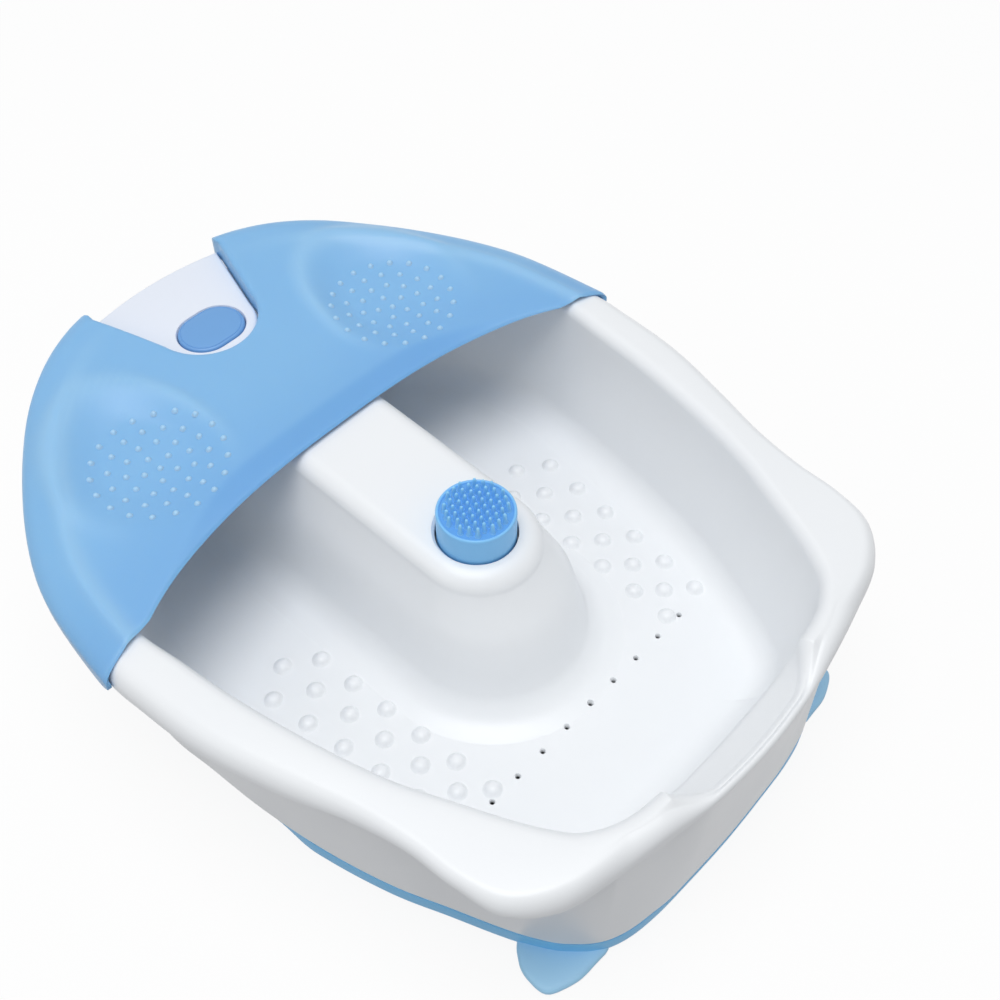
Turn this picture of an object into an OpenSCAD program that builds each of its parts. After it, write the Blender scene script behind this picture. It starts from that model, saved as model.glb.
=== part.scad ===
// Foot spa basin: a white tub with a rolled rim, pouring spout and centre arm, a lift-off
// splash guard with two foot rests, a toe button, a lift-out massage brush, and an air
// blower with its heater and wiring points in the base pan.
// The origin is on the floor under the middle of the basin. The spout faces -Y.

/* [Basin] */
// Width across the rim
body_w = 356; // [320:1:430]
// Length from the spout to the rear edge
body_l = 444; // [400:1:540]
// Height of the rim's crest at the sides
rim_h = 118; // [108:1:150]
// How far the rim climbs towards the rear
rear_rise = 7; // [3:0.5:10]
// Thickness of the moulded walls
wall = 3; // [2:0.1:3.6]
// Height of the rim's turned-down lip
lip_h = 12; // [9:0.5:18]
// Height of the bowl's floor above the ground
floor_h = 34; // [31:0.5:42]
// How far the bowl's wall leans in on its way to the floor
bowl_draft = 9; // [5:0.5:14]
// Width of the pouring spout
spout_w = 104; // [80:1:116]
// Drop of the spout's edge below the rim
spout_drop = 9; // [6:0.5:14]

/* [Centre arm] */
// Height of the arm's top at the brush
arm_h = 112; // [104:1:124]
// Width of the arm below its rounded edge
arm_w = 68; // [62:1:80]
// Distance of the brush from the middle of the basin, towards the spout
brush_y = 42; // [30:1:60]
// Rise of the arm's top towards the rear, in millimetres for each millimetre
arm_slope = 0.05; // [0.02:0.01:0.06]

/* [Massage brush] */
// Diameter of the brush
brush_d = 41; // [34:0.5:46]
// Height of the brush's rim above the arm
brush_h = 16; // [12:0.5:22]
// Length of a massage pin
pin_l = 6.5; // [4:0.5:9]
// Gap round the brush in its socket
brush_gap = 1; // [0.6:0.1:1.6]

/* [Splash guard] */
// Thickness of the guard
guard_t = 2.6; // [2:0.1:3.4]
// Gap between the guard and what it rests on
guard_gap = 0.4; // [0.3:0.1:0.8]
// Height of the guard's skirt
skirt_h = 15; // [10:0.5:22]
// Depth of the foot rests
rest_depth = 6; // [3:0.5:8]
// Height of a foot rest's bumps
bump_h = 1.5; // [1:0.1:2.5]

/* [Toe button] */
// Width of the button
button_w = 40; // [34:0.5:44]
// Depth of the button from front to rear
button_l = 31; // [26:0.5:34]
// Travel of the button
button_travel = 3; // [2:0.5:4]
// Gap round the button
button_gap = 0.6; // [0.4:0.1:1]
// Distance of the button's middle from the rear edge
button_from_rear = 57; // [50:1:62]
// Thickness of the control panel
panel_t = 5.5; // [4:0.5:7]

/* [Base] */
// Height of the coloured band round the base
band_h = 11; // [8:0.5:16]
// Height of the pan's underside above the ground
pan_z = 3; // [2:0.5:6]
// Thickness of the pan's floor
pan_t = 3; // [2:0.5:4]
// Radius of a foot
foot_r = 18; // [14:0.5:22]

/* [Blower] */
// Radius of the fan
fan_r = 32; // [26:0.5:34]
// Number of blades on the fan
fan_blades = 16; // [10:1:20]
// Radius of the motor's shaft
shaft_r = 2.5; // [1.5:0.1:3.5]
// Radius of the motor
motor_r = 19; // [15:0.5:21]
// Height of the motor
motor_l = 40; // [30:1:44]
// Distance of the blower behind the middle of the basin
blower_y = 20; // [10:1:30]

/* [Cord inlet] */
// Bore of the cord gland
gland_bore = 7.2; // [5:0.1:9]
// Height of the gland above the ground
gland_z = 34; // [28:1:44]

/* [Hidden] */
$fn = 48;
eps = 0.01;
run_gap = 0.05;
seat_gap = 0.3;
thread_gap = 0.05;
white = [0.95, 0.96, 0.97];
blue = [0.44, 0.68, 0.90];
pale_blue = [0.55, 0.74, 0.92];
rubber = [0.18, 0.19, 0.21];
metal = [0.72, 0.73, 0.75];

// How far a cut runs past the face it opens
cut = 1;

// Half of the plan, from the middle of the spout to the middle of the rear, drawn for a basin
// of plan_w by plan_l: the bowl's edge, the rim's outer edge and how far the skirt wall stands
// outside the bowl's edge.
plan_w = 356;
plan_l = 444;
side_stations = [
    [0, -201, 0, -222, 14.5],
    [28, -200.5, 30, -220.5, 14.3],
    [54, -199.5, 58, -216.5, 14],
    [74, -196, 90, -210, 14.5],
    [89, -187.5, 119, -202, 11.5],
    [97, -177, 138.5, -186, 11],
    [105, -162, 145, -163, 10.5],
    [115, -139, 147, -138, 9.5],
    [127, -110, 152.5, -110, 8.5],
    [137, -73, 163.5, -75, 8],
    [145, -33, 173.5, -37, 6.5],
    [150, 5, 177.5, 0, 4.5],
    [153, 38, 178, 32, 3.5]
];
rear_bowl = [153, 40, 142];
rear_rim = [178, 30, 192];
// How far the rear's outline leaves its oval at each step
rear_swell = [-1.6, -4, -1, 2.4, 0];
rear_steps = len(rear_swell);
rear_inset = 14;
side_inset = 4.5;
rear_stations = [for (k = [1 : rear_steps]) rear_station(90 * k / rear_steps, rear_swell[k - 1])];
stations = concat(side_stations, rear_stations);
last_station = len(stations) - 1;
guard_station = len(side_stations) - 1;
steps_per_station = 2;

function rear_station(a, swell) =
    let (w = [rear_bowl[0] * cos(a), rear_bowl[1] + rear_bowl[2] * sin(a)],
         r = [(rear_rim[0] + swell) * cos(a), rear_rim[1] + (rear_rim[2] + swell) * sin(a)])
    [w[0], w[1], r[0], r[1], norm(r - w) - rear_inset - side_inset * cos(a)];
function flip(s) = [-s[0], s[1], -s[2], s[3], s[4]];
function station(i) = i < 0 ? flip(stations[-i])
    : i > last_station ? flip(stations[2 * last_station - i]) : stations[i];
function curve(a, b, c, d, t) =
    (2 * b + (c - a) * t + (2 * a - 5 * b + 4 * c - d) * t * t
    + (3 * b - a - 3 * c + d) * t * t * t) / 2;
function scaled(s) = [s[0] * body_w / plan_w, s[1] * body_l / plan_l,
    s[2] * body_w / plan_w, s[3] * body_l / plan_l, s[4]];
function plan_at(t) = let (i = min(floor(t), last_station - 1))
    scaled(curve(station(i - 1), station(i), station(i + 1), station(i + 2), t - i));
half_count = last_station * steps_per_station;
half_plan = [for (k = [0 : half_count]) plan_at(k / steps_per_station)];
plan = concat(half_plan, [for (k = [half_count - 1 : -1 : 1]) flip(half_plan[k])]);
count = len(plan);

function bowl_point(p) = [p[0], p[1]];
function rim_point(p) = [p[2], p[3]];
function rim_width(p) = norm(rim_point(p) - bowl_point(p));
function outward(p) = (rim_point(p) - bowl_point(p)) / rim_width(p);
// A point of the plan, at a distance outside the bowl's edge, the rim's edge, the skirt's foot
// or the skirt's shoulder under the rim
BOWL = 0;
RIM = 1;
SKIRT = 2;
SHOULDER = 3;
skirt_flare = 2;
tuck = 2;
shoulder_least = 2 * wall + tuck + 2 * seat_gap;
function shoulder(p) = min(max(p[4] + skirt_flare, shoulder_least), rim_width(p) - wall - tuck - seat_gap);
function offset_of(p, line, d) = d + (line == RIM ? rim_width(p)
    : line == SKIRT ? p[4] : line == SHOULDER ? shoulder(p) : 0);
function plan_point(p, line, d) = bowl_point(p) + outward(p) * offset_of(p, line, d);
function plan_ring(line, d) = [for (p = plan) plan_point(p, line, d)];
function smooth_step(t) = let (c = max(0, min(1, t))) c * c * (3 - 2 * c);
rear_y = body_l / 2;
guard_end = plan_at(guard_station);
rise_start = guard_end[1] - 8;
function rise_at(y) = rear_rise * smooth_step((y - rise_start) / (rear_y - rise_start));
// One ring of a moulded surface: [line, distance, height, share of the rim's rise]
function ring(e) = [for (p = plan) let (q = plan_point(p, e[0], e[1]))
    [q[0], q[1], e[2] + e[3] * rise_at(q[1])]];

module loft(entries) {
    rings = [for (e = entries) ring(e)];
    n = len(rings);
    low = [0, 0, entries[0][2]];
    high = [0, 0, entries[n - 1][2]];
    points = concat([for (r = rings) each r], [low, high]);
    function at(k, i) = k * count + i % count;
    faces = concat(
        [for (k = [0 : n - 2], i = [0 : count - 1]) [at(k, i), at(k + 1, i), at(k + 1, i + 1)]],
        [for (k = [0 : n - 2], i = [0 : count - 1]) [at(k, i), at(k + 1, i + 1), at(k, i + 1)]],
        [for (i = [0 : count - 1]) [n * count, at(0, i), at(0, i + 1)]],
        [for (i = [0 : count - 1]) [n * count + 1, at(n - 1, i + 1), at(n - 1, i)]]);
    polyhedron(points, faces);
}

// Basin
skirt_z = pan_z + band_h;
above = 25;
// Rounding of the rim's outer edge and of its inner edge: [share inwards, share down]
edge_roll = 9.5;
edge_curve = [[0, 1], [0.08, 0.6], [0.35, 0.25]];
crest_fall = 0.6;
roll = 7;
roll_curve = [[0, 1], [0.14, 0.45], [0.43, 0.15]];
// Corner between the floor and the wall: [distance inwards, height]
floor_corner = [[18, 0], [10, 1.3], [4, 6], [0, 16]];
wall_bend = 30;
bowl_floor_inset = bowl_draft + floor_corner[0][0];

module rim_envelope() {
    loft(concat(
        [[SKIRT, 0, skirt_z, 0],
        [SHOULDER, 0, rim_h - lip_h - tuck, 1],
        [SHOULDER, 0, rim_h - wall - tuck, 1],
        [RIM, -wall - tuck, rim_h - wall - tuck, 1],
        [RIM, -wall, rim_h - wall - 2 * tuck, 1],
        [RIM, -wall, rim_h - lip_h, 1],
        [RIM, 0, rim_h - lip_h, 1]],
        [for (c = edge_curve) [RIM, -c[0] * edge_roll, rim_h - c[1] * edge_roll, 1]],
        [[RIM, -edge_roll, rim_h - crest_fall, 1],
        [BOWL, roll, rim_h, 1]]));
}

module bowl_space(grow) {
    loft(concat(
        [for (c = floor_corner) [BOWL, grow - bowl_draft - c[0], floor_h + c[1] - grow, 0]],
        [[BOWL, grow - bowl_draft / 4, rim_h - wall_bend, 0]],
        [for (c = roll_curve) [BOWL, grow + c[0] * roll, rim_h - c[1] * roll, 1]],
        [[BOWL, grow + roll, rim_h + eps, 1],
        [BOWL, grow + roll + cut, rim_h + above, 1]]));
}

module skirt_space() {
    loft([
        [SKIRT, -wall, skirt_z - cut, 0],
        [SHOULDER, -wall, rim_h - lip_h - tuck, 1],
        [SHOULDER, -wall - tuck, rim_h - wall - tuck + seat_gap, 1]]);
}

// The arm's outline at a depth below its top: [depth, radius, how far the tip runs forward]
arm_rear = rear_y - 26;
arm_root = 14;
arm_foot_out = 18;
arm_slices = [[0, -11, 0], [2, -5, 0], [5, -2, 0], [10, 0, 0], [36, 11, 8],
    [arm_h - floor_h + arm_root, arm_foot_out, 10]];

module arm_shape(grow) {
    multmatrix([[1, 0, 0, 0], [0, 1, 0, 0], [0, arm_slope, 1, arm_slope * brush_y], [0, 0, 0, 1]])
        hull()
            for (s = arm_slices) {
                r = arm_w / 2 + s[1] + grow;
                translate([0, -brush_y - s[2], arm_h - s[0] + grow]) {
                    cylinder(r = r, h = eps, $fn = 40);
                    translate([-r, 0, 0])
                        cube([2 * r, arm_rear + brush_y + s[2], eps]);
                }
            }
}

// The spout's ramp: its outer edge follows the rim, its foot lies against the bowl's wall
spout_edge = 6;
spout_depth = 34;
spout_taper = 15;
spout_foot_w = spout_w - 2 * spout_taper;
spout_back = 25;
spout_open = 10;
spout_rise = 8;
spout_flank = 3;
front_rim_y = -rear_y;
spout_bow = 5;
bow_steps = 4;

module spout_slice(z, w, y) {
    translate([0, 0, z])
        linear_extrude(eps)
            polygon(concat([for (k = [-bow_steps : bow_steps])
                    [k / bow_steps * w / 2, y + spout_bow * pow(k / bow_steps, 2)]],
                [[w / 2, y + spout_back + spout_open], [-w / 2, y + spout_back + spout_open]]));
}

module spout_ramp(grow) {
    hull() {
        spout_slice(rim_h + spout_rise, spout_w + 2 * spout_flank + 2 * grow,
            front_rim_y + spout_edge - grow);
        spout_slice(rim_h - spout_drop - grow, spout_w + 2 * grow, front_rim_y + spout_edge - grow);
        spout_slice(rim_h - spout_depth - grow, spout_foot_w + 2 * grow, front_rim_y + spout_back - grow);
    }
}

// The ledge that carries the spout's edge between the skirt and the rim's lip
ledge_in = 0.4;

module spout_ledge() {
    intersection() {
        translate([0, 0, rim_h - lip_h + ledge_in])
            linear_extrude(lip_h - spout_drop + ledge_in)
                polygon(plan_ring(RIM, -ledge_in));
        translate([-spout_w / 2 - spout_rise, front_rim_y - cut, 0])
            cube([spout_w + 2 * spout_rise, spout_back + cut, rim_h]);
    }
}

module spout_lip_cut() {
    hull() {
        spout_slice(rim_h + spout_rise, spout_w + 2 * spout_flank + spout_rise, front_rim_y - spout_open);
        spout_slice(rim_h - spout_drop, spout_w - 2 * spout_flank, front_rim_y - spout_open);
    }
}

// Massage nodes moulded on the floor under each foot
node_rows = 6;
node_pitch = 24;
node_x = 94;
node_side = 13;
node_spread = 0.8;
node_toe_in = 2;
node_r = 4.2;
node_h = 3.2;
node_root = 0.5;
node_front = -118;

module floor_nodes() {
    for (side = [-1, 1], row = [0 : node_rows - 1], k = [-1 : 1])
        translate([side * (node_x + k * (node_side + row * node_spread)
                    - (node_rows - 1 - row) * node_toe_in),
                node_front + row * node_pitch + (k == 0 ? node_pitch / 2 : 0), floor_h - node_root])
            hull() {
                cylinder(r = node_r, h = node_root, $fn = 7);
                cylinder(r = node_r / 2, h = node_h + node_root, $fn = 7);
            }
}

// Screw posts that hold the base pan: three under the floor's edge and one behind the bowl
pan_top = pan_z + pan_t;
post_r = 4.5;
post_clear = 5;
pilot_r = 1.5;
pilot_sides = 8;
pilot_depth = 14;
floor_post_stations = [6.6, 10, 13];
rear_post_station = last_station - 1;
post_spots = concat(
    [for (t = floor_post_stations) plan_point(plan_at(t), BOWL, -bowl_floor_inset - post_r - post_clear)],
    [plan_point(plan_at(rear_post_station), BOWL, wall + post_r + post_clear)]);
rear_post = len(post_spots) - 1;
function drilled(r) = r / cos(180 / pilot_sides);
function post_top(k) = (k == rear_post ? rim_h + rise_at(post_spots[k][1]) : floor_h) - wall / 2;

module both_sides() {
    children();
    mirror([1, 0, 0])
        children();
}

module screw_posts() {
    both_sides()
        for (k = [0 : len(post_spots) - 1])
            translate([post_spots[k][0], post_spots[k][1], pan_top])
                cylinder(r = post_r, h = post_top(k) - pan_top, $fn = 12);
}

module post_pilots() {
    both_sides()
        for (s = post_spots)
            translate([s[0], s[1], pan_top - cut])
                cylinder(r = drilled(pilot_r), h = pilot_depth + cut, $fn = pilot_sides);
}

// Control panel seat on the rear deck
panel_drop = 3;
panel_z = rim_h - panel_drop;
panel_round = 30;
button_y = rear_y - button_from_rear;
panel_mid_y = button_y + 6;
panel_rear_w = 46;
panel_bow = 5.5;
panel_lip_t = 3;
panel_lip_h = 8;
notch_gap = 1;
notch_t = 2;
pocket_gap = notch_gap + notch_t + 0.5;
panel_flange = pocket_gap + wall;
panel_screw_x = 30;
panel_screw_y = rear_y - 30;
housing_r = 25;

function panel_outline(grow, rear_past) =
    let (r = panel_round + grow, w = panel_rear_w + grow,
         corner_y = rear_y - panel_bow, past_y = rear_y + rear_past)
    concat([for (a = [-170 : 10 : -10]) [r * cos(a), panel_mid_y + r * sin(a)]],
        rear_past > 0 ? [[w, corner_y], [w, past_y], [-w, past_y], [-w, corner_y]]
            : [for (k = [bow_steps : -1 : -bow_steps])
                [k / bow_steps * w, rear_y - panel_bow * pow(k / bow_steps, 2)]]);

module panel_prism(grow, low, high, rear_past = 0) {
    translate([0, 0, low])
        linear_extrude(high - low)
            polygon(panel_outline(grow, rear_past));
}

// The rim stops on both sides of the panel, which closes the rear itself
module rear_rim_cut() {
    difference() {
        panel_prism(pocket_gap, rim_h - 2 * lip_h, rim_h, above);
        linear_extrude(rim_h)
            polygon(plan_ring(SHOULDER, seat_gap));
    }
}

// Holes for the brush socket, the air and the cord gland
socket_wall = 1.6;
socket_r = brush_d / 2 + brush_gap + socket_wall;
manifold_station = plan_at(7.6);
manifold_inset = 7;
manifold_y = manifold_station[1];
manifold_l = 2 * (manifold_station[0] - bowl_floor_inset - manifold_inset);
air_hole_r = 1;
air_holes = 9;
air_hole_inset = 12;
gland_r = 6.5;

module basin() {
    color(white)
        difference() {
            union() {
                difference() {
                    rim_envelope();
                    difference() {
                        bowl_space(0);
                        arm_shape(0);
                    }
                    difference() {
                        skirt_space();
                        difference() {
                            bowl_space(wall);
                            arm_shape(-wall);
                        }
                        spout_ramp(wall);
                        panel_prism(panel_flange, panel_z - wall, rim_h + above);
                    }
                }
                floor_nodes();
                screw_posts();
                spout_ledge();
            }
            spout_ramp(0);
            spout_lip_cut();
            panel_prism(pocket_gap, panel_z, rim_h + above, above);
            rear_rim_cut();
            post_pilots();
            translate([0, button_y, panel_z - 2 * wall])
                cylinder(r = housing_r + seat_gap, h = 4 * wall, $fn = 40);
            translate([0, -brush_y, arm_h - above])
                cylinder(r = socket_r + seat_gap, h = 2 * above, $fn = 40);
            for (k = [0 : air_holes - 1])
                translate([(k / (air_holes - 1) - 0.5) * (manifold_l - 2 * air_hole_inset), manifold_y,
                        floor_h - 2 * wall])
                    cylinder(r = air_hole_r, h = 4 * wall, $fn = 5);
            translate([0, rear_y, gland_z])
                rotate([90, 0, 0])
                    cylinder(r = gland_r + seat_gap, h = 2 * above, $fn = 24);
            for (x = [-panel_screw_x, panel_screw_x])
                translate([x, panel_screw_y, panel_z - 2 * wall])
                    cylinder(r = drilled(pilot_r), h = 4 * wall, $fn = pilot_sides);
        }
}

// Splash guard: a crescent from the front lip to the rim, laid out on strips that fan out
// from the lip to the rim's outer edge
guard_strips = 20;
lip_x = guard_end[0] - 2;
lip_end_y = guard_end[1] - 4;
lip_arch = 26;
arm_relief = 4;
arm_relief_w = 42;
lip_drop = 5;
lip_fade = 24;
lip_flat = 30;
lip_over_arm = 0.85;
lip_over_arm_w = 50;
guard_top = rim_h + guard_gap + guard_t;
guard_climb = 3;
climb_run = 110;
climb_start = rear_y - 22 - climb_run;
rest_x = 80;
rest_y = lip_end_y + 78;
rest_rx = 46;
rest_ry = 52;
guard_roll = 14;
lip_zone = 22;
// The guard's ends run forward on the rim past the ends of its lip
horn_reach = 0.24;
horn_station = guard_station - horn_reach;
guard_out = guard_gap + guard_t;

function near_arm(x) = exp(-pow(x / arm_relief_w, 6));
function near_rim(x) = smooth_step((abs(x) - lip_x + lip_flat) / lip_fade);
function lip_line(u) = let (x = u * lip_x)
    [x, lip_end_y + lip_arch * pow(max(0, 1 - u * u), 1.3) - arm_relief * near_arm(x)];
function guard_edge(u) =
    let (p = plan_at(last_station - (last_station - horn_station) * abs(u)),
         q = plan_point(p, RIM, guard_out))
    [u < 0 ? -q[0] : q[0], q[1]];
function rest_dent(x, y) =
    let (d = pow((abs(x) - rest_x) / rest_rx, 2) + pow((y - rest_y) / rest_ry, 2))
    d < 1 ? rest_depth * pow(1 - d, 2) : 0;
function guard_height(x, y) = guard_top + rise_at(y)
    + guard_climb * smooth_step((y - climb_start) / climb_run) - rest_dent(x, y);
function over_arm(x) = lip_over_arm * exp(-pow(x / lip_over_arm_w, 4));
function lip_fall(x) = lip_drop * (1 - max(over_arm(x), near_rim(x)));
// Places across a strip: [share of the lip zone, share of the open middle, share of the roll]
strip_places = [[0, 0, 0], [0.35, 0, 0], [0.7, 0, 0], [1, 0, 0], [1, 0.14, 0], [1, 0.28, 0],
    [1, 0.42, 0], [1, 0.56, 0], [1, 0.7, 0], [1, 0.85, 0], [1, 1, 0], [1, 1, 0.4], [1, 1, 0.75],
    [1, 1, 0.93], [1, 1, 1], [1, 1, 1]];
function strip_point(u, k, inside) =
    let (f = lip_line(u), o = guard_edge(u), run = norm(o - f), dir = (o - f) / run,
         s = strip_places[k], lip = min(lip_zone, 0.3 * run), round = min(guard_roll, 0.45 * run),
         skirt = k == len(strip_places) - 1,
         d = s[0] * lip + s[1] * (run - lip - round) + s[2] * round - inside * s[2],
         q = f + dir * d,
         fall = lip_fall(f[0]) * pow(1 - s[0], 1.5),
         curl = round * 0.7 * (1 - sqrt(max(0, 1 - pow(s[2], 2)))))
    [q[0], q[1], guard_height(q[0], q[1]) - fall - (skirt ? skirt_h : curl)
        - (skirt ? 0 : inside * (1 - 0.6 * pow(s[2], 2)))];

module guard_sheet() {
    across = len(strip_places);
    along = 2 * guard_strips + 1;
    size = across * along;
    function place(i) = (i - guard_strips) / guard_strips;
    top = [for (i = [0 : along - 1], k = [0 : across - 1]) strip_point(place(i), k, 0)];
    bottom = [for (i = [0 : along - 1], k = [0 : across - 1]) strip_point(place(i), k, guard_t)];
    function at(i, k) = i * across + k;
    faces = concat(
        [for (i = [0 : along - 2], k = [0 : across - 2]) [at(i, k), at(i, k + 1), at(i + 1, k + 1)]],
        [for (i = [0 : along - 2], k = [0 : across - 2]) [at(i, k), at(i + 1, k + 1), at(i + 1, k)]],
        [for (i = [0 : along - 2], k = [0 : across - 2])
            [size + at(i, k), size + at(i + 1, k + 1), size + at(i, k + 1)]],
        [for (i = [0 : along - 2], k = [0 : across - 2])
            [size + at(i, k), size + at(i + 1, k), size + at(i + 1, k + 1)]],
        [for (i = [0 : along - 2], k = [0, across - 1]) k == 0
            ? [at(i, k), at(i + 1, k), size + at(i + 1, k)]
            : [at(i + 1, k), at(i, k), size + at(i, k)]],
        [for (i = [0 : along - 2], k = [0, across - 1]) k == 0
            ? [at(i, k), size + at(i + 1, k), size + at(i, k)]
            : [at(i + 1, k), size + at(i, k), size + at(i + 1, k)]],
        [for (k = [0 : across - 2], i = [0, along - 1]) i == 0
            ? [at(i, k + 1), at(i, k), size + at(i, k)]
            : [at(i, k), at(i, k + 1), size + at(i, k + 1)]],
        [for (k = [0 : across - 2], i = [0, along - 1]) i == 0
            ? [at(i, k + 1), size + at(i, k), size + at(i, k + 1)]
            : [at(i, k), size + at(i, k + 1), size + at(i, k)]]);
    polyhedron(concat(top, bottom), faces);
}

// Bumps of a foot rest, in oval rings: how many stand on each
bump_rings = [1, 5, 11, 15, 19];
bump_step_x = 7.6;
bump_step_y = 9.2;
bump_turn = 12;
bump_r = 1.9;
bump_tip_r = 0.85;

module rest_bumps() {
    for (side = [-1, 1], r = [0 : len(bump_rings) - 1], i = [0 : bump_rings[r] - 1]) {
        a = 360 * i / bump_rings[r] + bump_turn * r;
        x = side * (rest_x + r * bump_step_x * cos(a));
        y = rest_y + r * bump_step_y * sin(a);
        translate([x, y, guard_height(x, y) - cut])
            hull() {
                cylinder(r = bump_r, h = cut, $fn = 5);
                cylinder(r = bump_tip_r, h = cut + bump_h, $fn = 5);
            }
    }
}

// The guard's edge turns down round the panel
notch_sink = 0.6;
notch_low = panel_z + 1.2;
notch_steps = [0, 0.12, 0.3, 0.55, 0.8];

function guard_roll_fall(x, y) =
    let (edge_y = guard_edge_y(x), t = max(0, min(1, 1 - (edge_y - y) / guard_roll)))
    0.7 * guard_roll * (1 - sqrt(max(0, 1 - t * t)));
function guard_edge_y(x) =
    let (a = rear_rim[0] * body_w / plan_w + guard_out, b = rear_rim[2] * body_l / plan_l + guard_out,
         turn = acos(min(1, abs(x) / a)), step = 90 / rear_steps,
         swell = rear_swell[rear_steps - 2] * max(0, min(1, (90 - turn) / step)))
    rear_rim[1] * body_l / plan_l + (b + swell) * sin(turn);
function notch_path(grow) =
    let (r = panel_round + grow, corner = [panel_rear_w + grow, rear_y - panel_bow],
         start = [r * cos(10), panel_mid_y - r * sin(10)])
    concat(
        [for (t = notch_steps) let (q = corner + (start - corner) * t) [-q[0], q[1]]],
        [for (a = [-170 : 10 : -10]) [r * cos(a), panel_mid_y + r * sin(a)]],
        [for (k = [len(notch_steps) - 1 : -1 : 0]) corner + (start - corner) * notch_steps[k]]);

module notch_wall() {
    inner = notch_path(notch_gap - seat_gap);
    outer = notch_path(notch_gap + notch_t);
    n = len(inner);
    function top_of(q) = [q[0], q[1], guard_height(q[0], q[1]) - guard_roll_fall(q[0], q[1]) - notch_sink];
    function low_of(q) = [q[0], q[1], notch_low];
    points = [for (i = [0 : n - 1])
        each [low_of(inner[i]), low_of(outer[i]), top_of(outer[i]), top_of(inner[i])]];
    faces = concat(
        [for (i = [0 : n - 2], k = [0 : 3])
            [4 * i + k, 4 * i + (k + 1) % 4, 4 * i + 4 + k]],
        [for (i = [0 : n - 2], k = [0 : 3])
            [4 * i + (k + 1) % 4, 4 * i + 4 + (k + 1) % 4, 4 * i + 4 + k]],
        [[3, 2, 1, 0], [4 * n - 4, 4 * n - 3, 4 * n - 2, 4 * n - 1]]);
    polyhedron(points, faces);
}

module splash_guard() {
    color(pale_blue)
        difference() {
            union() {
                guard_sheet();
                rest_bumps();
                notch_wall();
            }
            panel_prism(notch_gap, 0, rim_h + 2 * above, above);
        }
}

// Control panel with its oval opening
panel_top = panel_z + panel_t;

module oval(w, l, h) {
    r = l / 2;
    translate([-(w - l) / 2, -r, 0])
        cube([w - l, l, h]);
    for (x = [-1, 1])
        translate([x * (w - l) / 2, 0, 0])
            cylinder(r = r, h = h);
}

housing_lip = 1.2;
housing_wall = 2;

module panel_rear_lip() {
    function bow_point(t, back) = [t * panel_rear_w, rear_y - back - panel_bow * t * t];
    translate([0, 0, panel_z - panel_lip_h])
        linear_extrude(panel_lip_h + cut)
            polygon(concat(
                [for (k = [-bow_steps : bow_steps]) bow_point(k / bow_steps, 0)],
                [for (k = [-bow_steps : bow_steps]) bow_point(-k / bow_steps, panel_lip_t)]));
}

module control_panel() {
    color(white)
        difference() {
            union() {
                panel_prism(0, panel_z, panel_top);
                panel_rear_lip();
            }
            translate([0, button_y, panel_z - cut])
                oval(button_w + 2 * button_gap, button_l + 2 * button_gap, panel_t + 2 * cut);
            translate([0, button_y, panel_z - cut])
                cylinder(r = housing_r + seat_gap, h = cut + housing_lip + seat_gap);
            for (x = [-panel_screw_x, panel_screw_x])
                translate([x, panel_screw_y, panel_z - cut])
                    cylinder(r = pilot_r + thread_gap, h = panel_t - cut);
        }
}

// Button, spring and switch, on one upright axis
button_proud = 1.5;
button_edge = 1;
button_top = panel_top + button_proud;
flange_t = 1.2;
flange_gap = 0.2;
flange_out = 1.6;
stem_r = 4;
housing_depth = 24;
housing_floor = panel_z + housing_lip - housing_depth;
spring_wire = 0.6;
spring_r = 7;
spring_turns = 5;
spring_gap = 0.25;
button_under = panel_z + housing_lip + seat_gap - flange_gap;
spring_low = housing_floor + housing_wall + spring_gap;
spring_high = button_under - flange_t - spring_gap;
plunger_r = 2.5;
plunger_out = 8;
plunger_in = button_travel + 1;
plunger_room = 1.5;
switch_gap = 0.1;
switch_top = housing_floor - switch_gap;
switch_size = [18, 14, 20];

module toe_button() {
    color(blue)
        translate([0, button_y, 0]) {
            translate([0, 0, button_under])
                oval(button_w, button_l, button_top - button_under - button_edge);
            translate([0, 0, button_top - button_edge])
                oval(button_w - 2 * button_edge, button_l - 2 * button_edge, button_edge);
            translate([0, 0, button_under - flange_t])
                oval(button_w + 2 * flange_out, button_l + 2 * flange_out, flange_t);
            translate([0, 0, switch_top + plunger_out + run_gap])
                cylinder(r = stem_r, h = button_under - switch_top - plunger_out);
        }
}

// Coil spring under the button: one round wire
spring_rings = 8;
spring_sides = 6;
coil_total = spring_turns * spring_rings;

coil_pitch = (spring_high - spring_low - 2 * spring_wire) / spring_turns;

function coil_height(k) = spring_low + spring_wire + coil_pitch * k / spring_rings;
function coil_point(k, j) =
    let (a = 360 * k / spring_rings, b = 360 * j / spring_sides, r = spring_r + spring_wire * cos(b))
    [r * cos(a), r * sin(a), coil_height(k) + spring_wire * sin(b)];
echo(least_gap_between_spring_turns = coil_pitch - 2 * spring_wire);

module button_spring() {
    color(metal)
        translate([0, button_y, 0])
            polyhedron(
                [for (k = [0 : coil_total], j = [0 : spring_sides - 1]) coil_point(k, j)],
                concat(
                    [for (k = [0 : coil_total - 1], j = [0 : spring_sides - 1])
                        [k * spring_sides + j, k * spring_sides + (j + 1) % spring_sides,
                        (k + 1) * spring_sides + j]],
                    [for (k = [0 : coil_total - 1], j = [0 : spring_sides - 1])
                        [k * spring_sides + (j + 1) % spring_sides,
                        (k + 1) * spring_sides + (j + 1) % spring_sides, (k + 1) * spring_sides + j]],
                    [[for (j = [spring_sides - 1 : -1 : 0]) j]],
                    [[for (j = [0 : spring_sides - 1]) coil_total * spring_sides + j]]));
}

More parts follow.
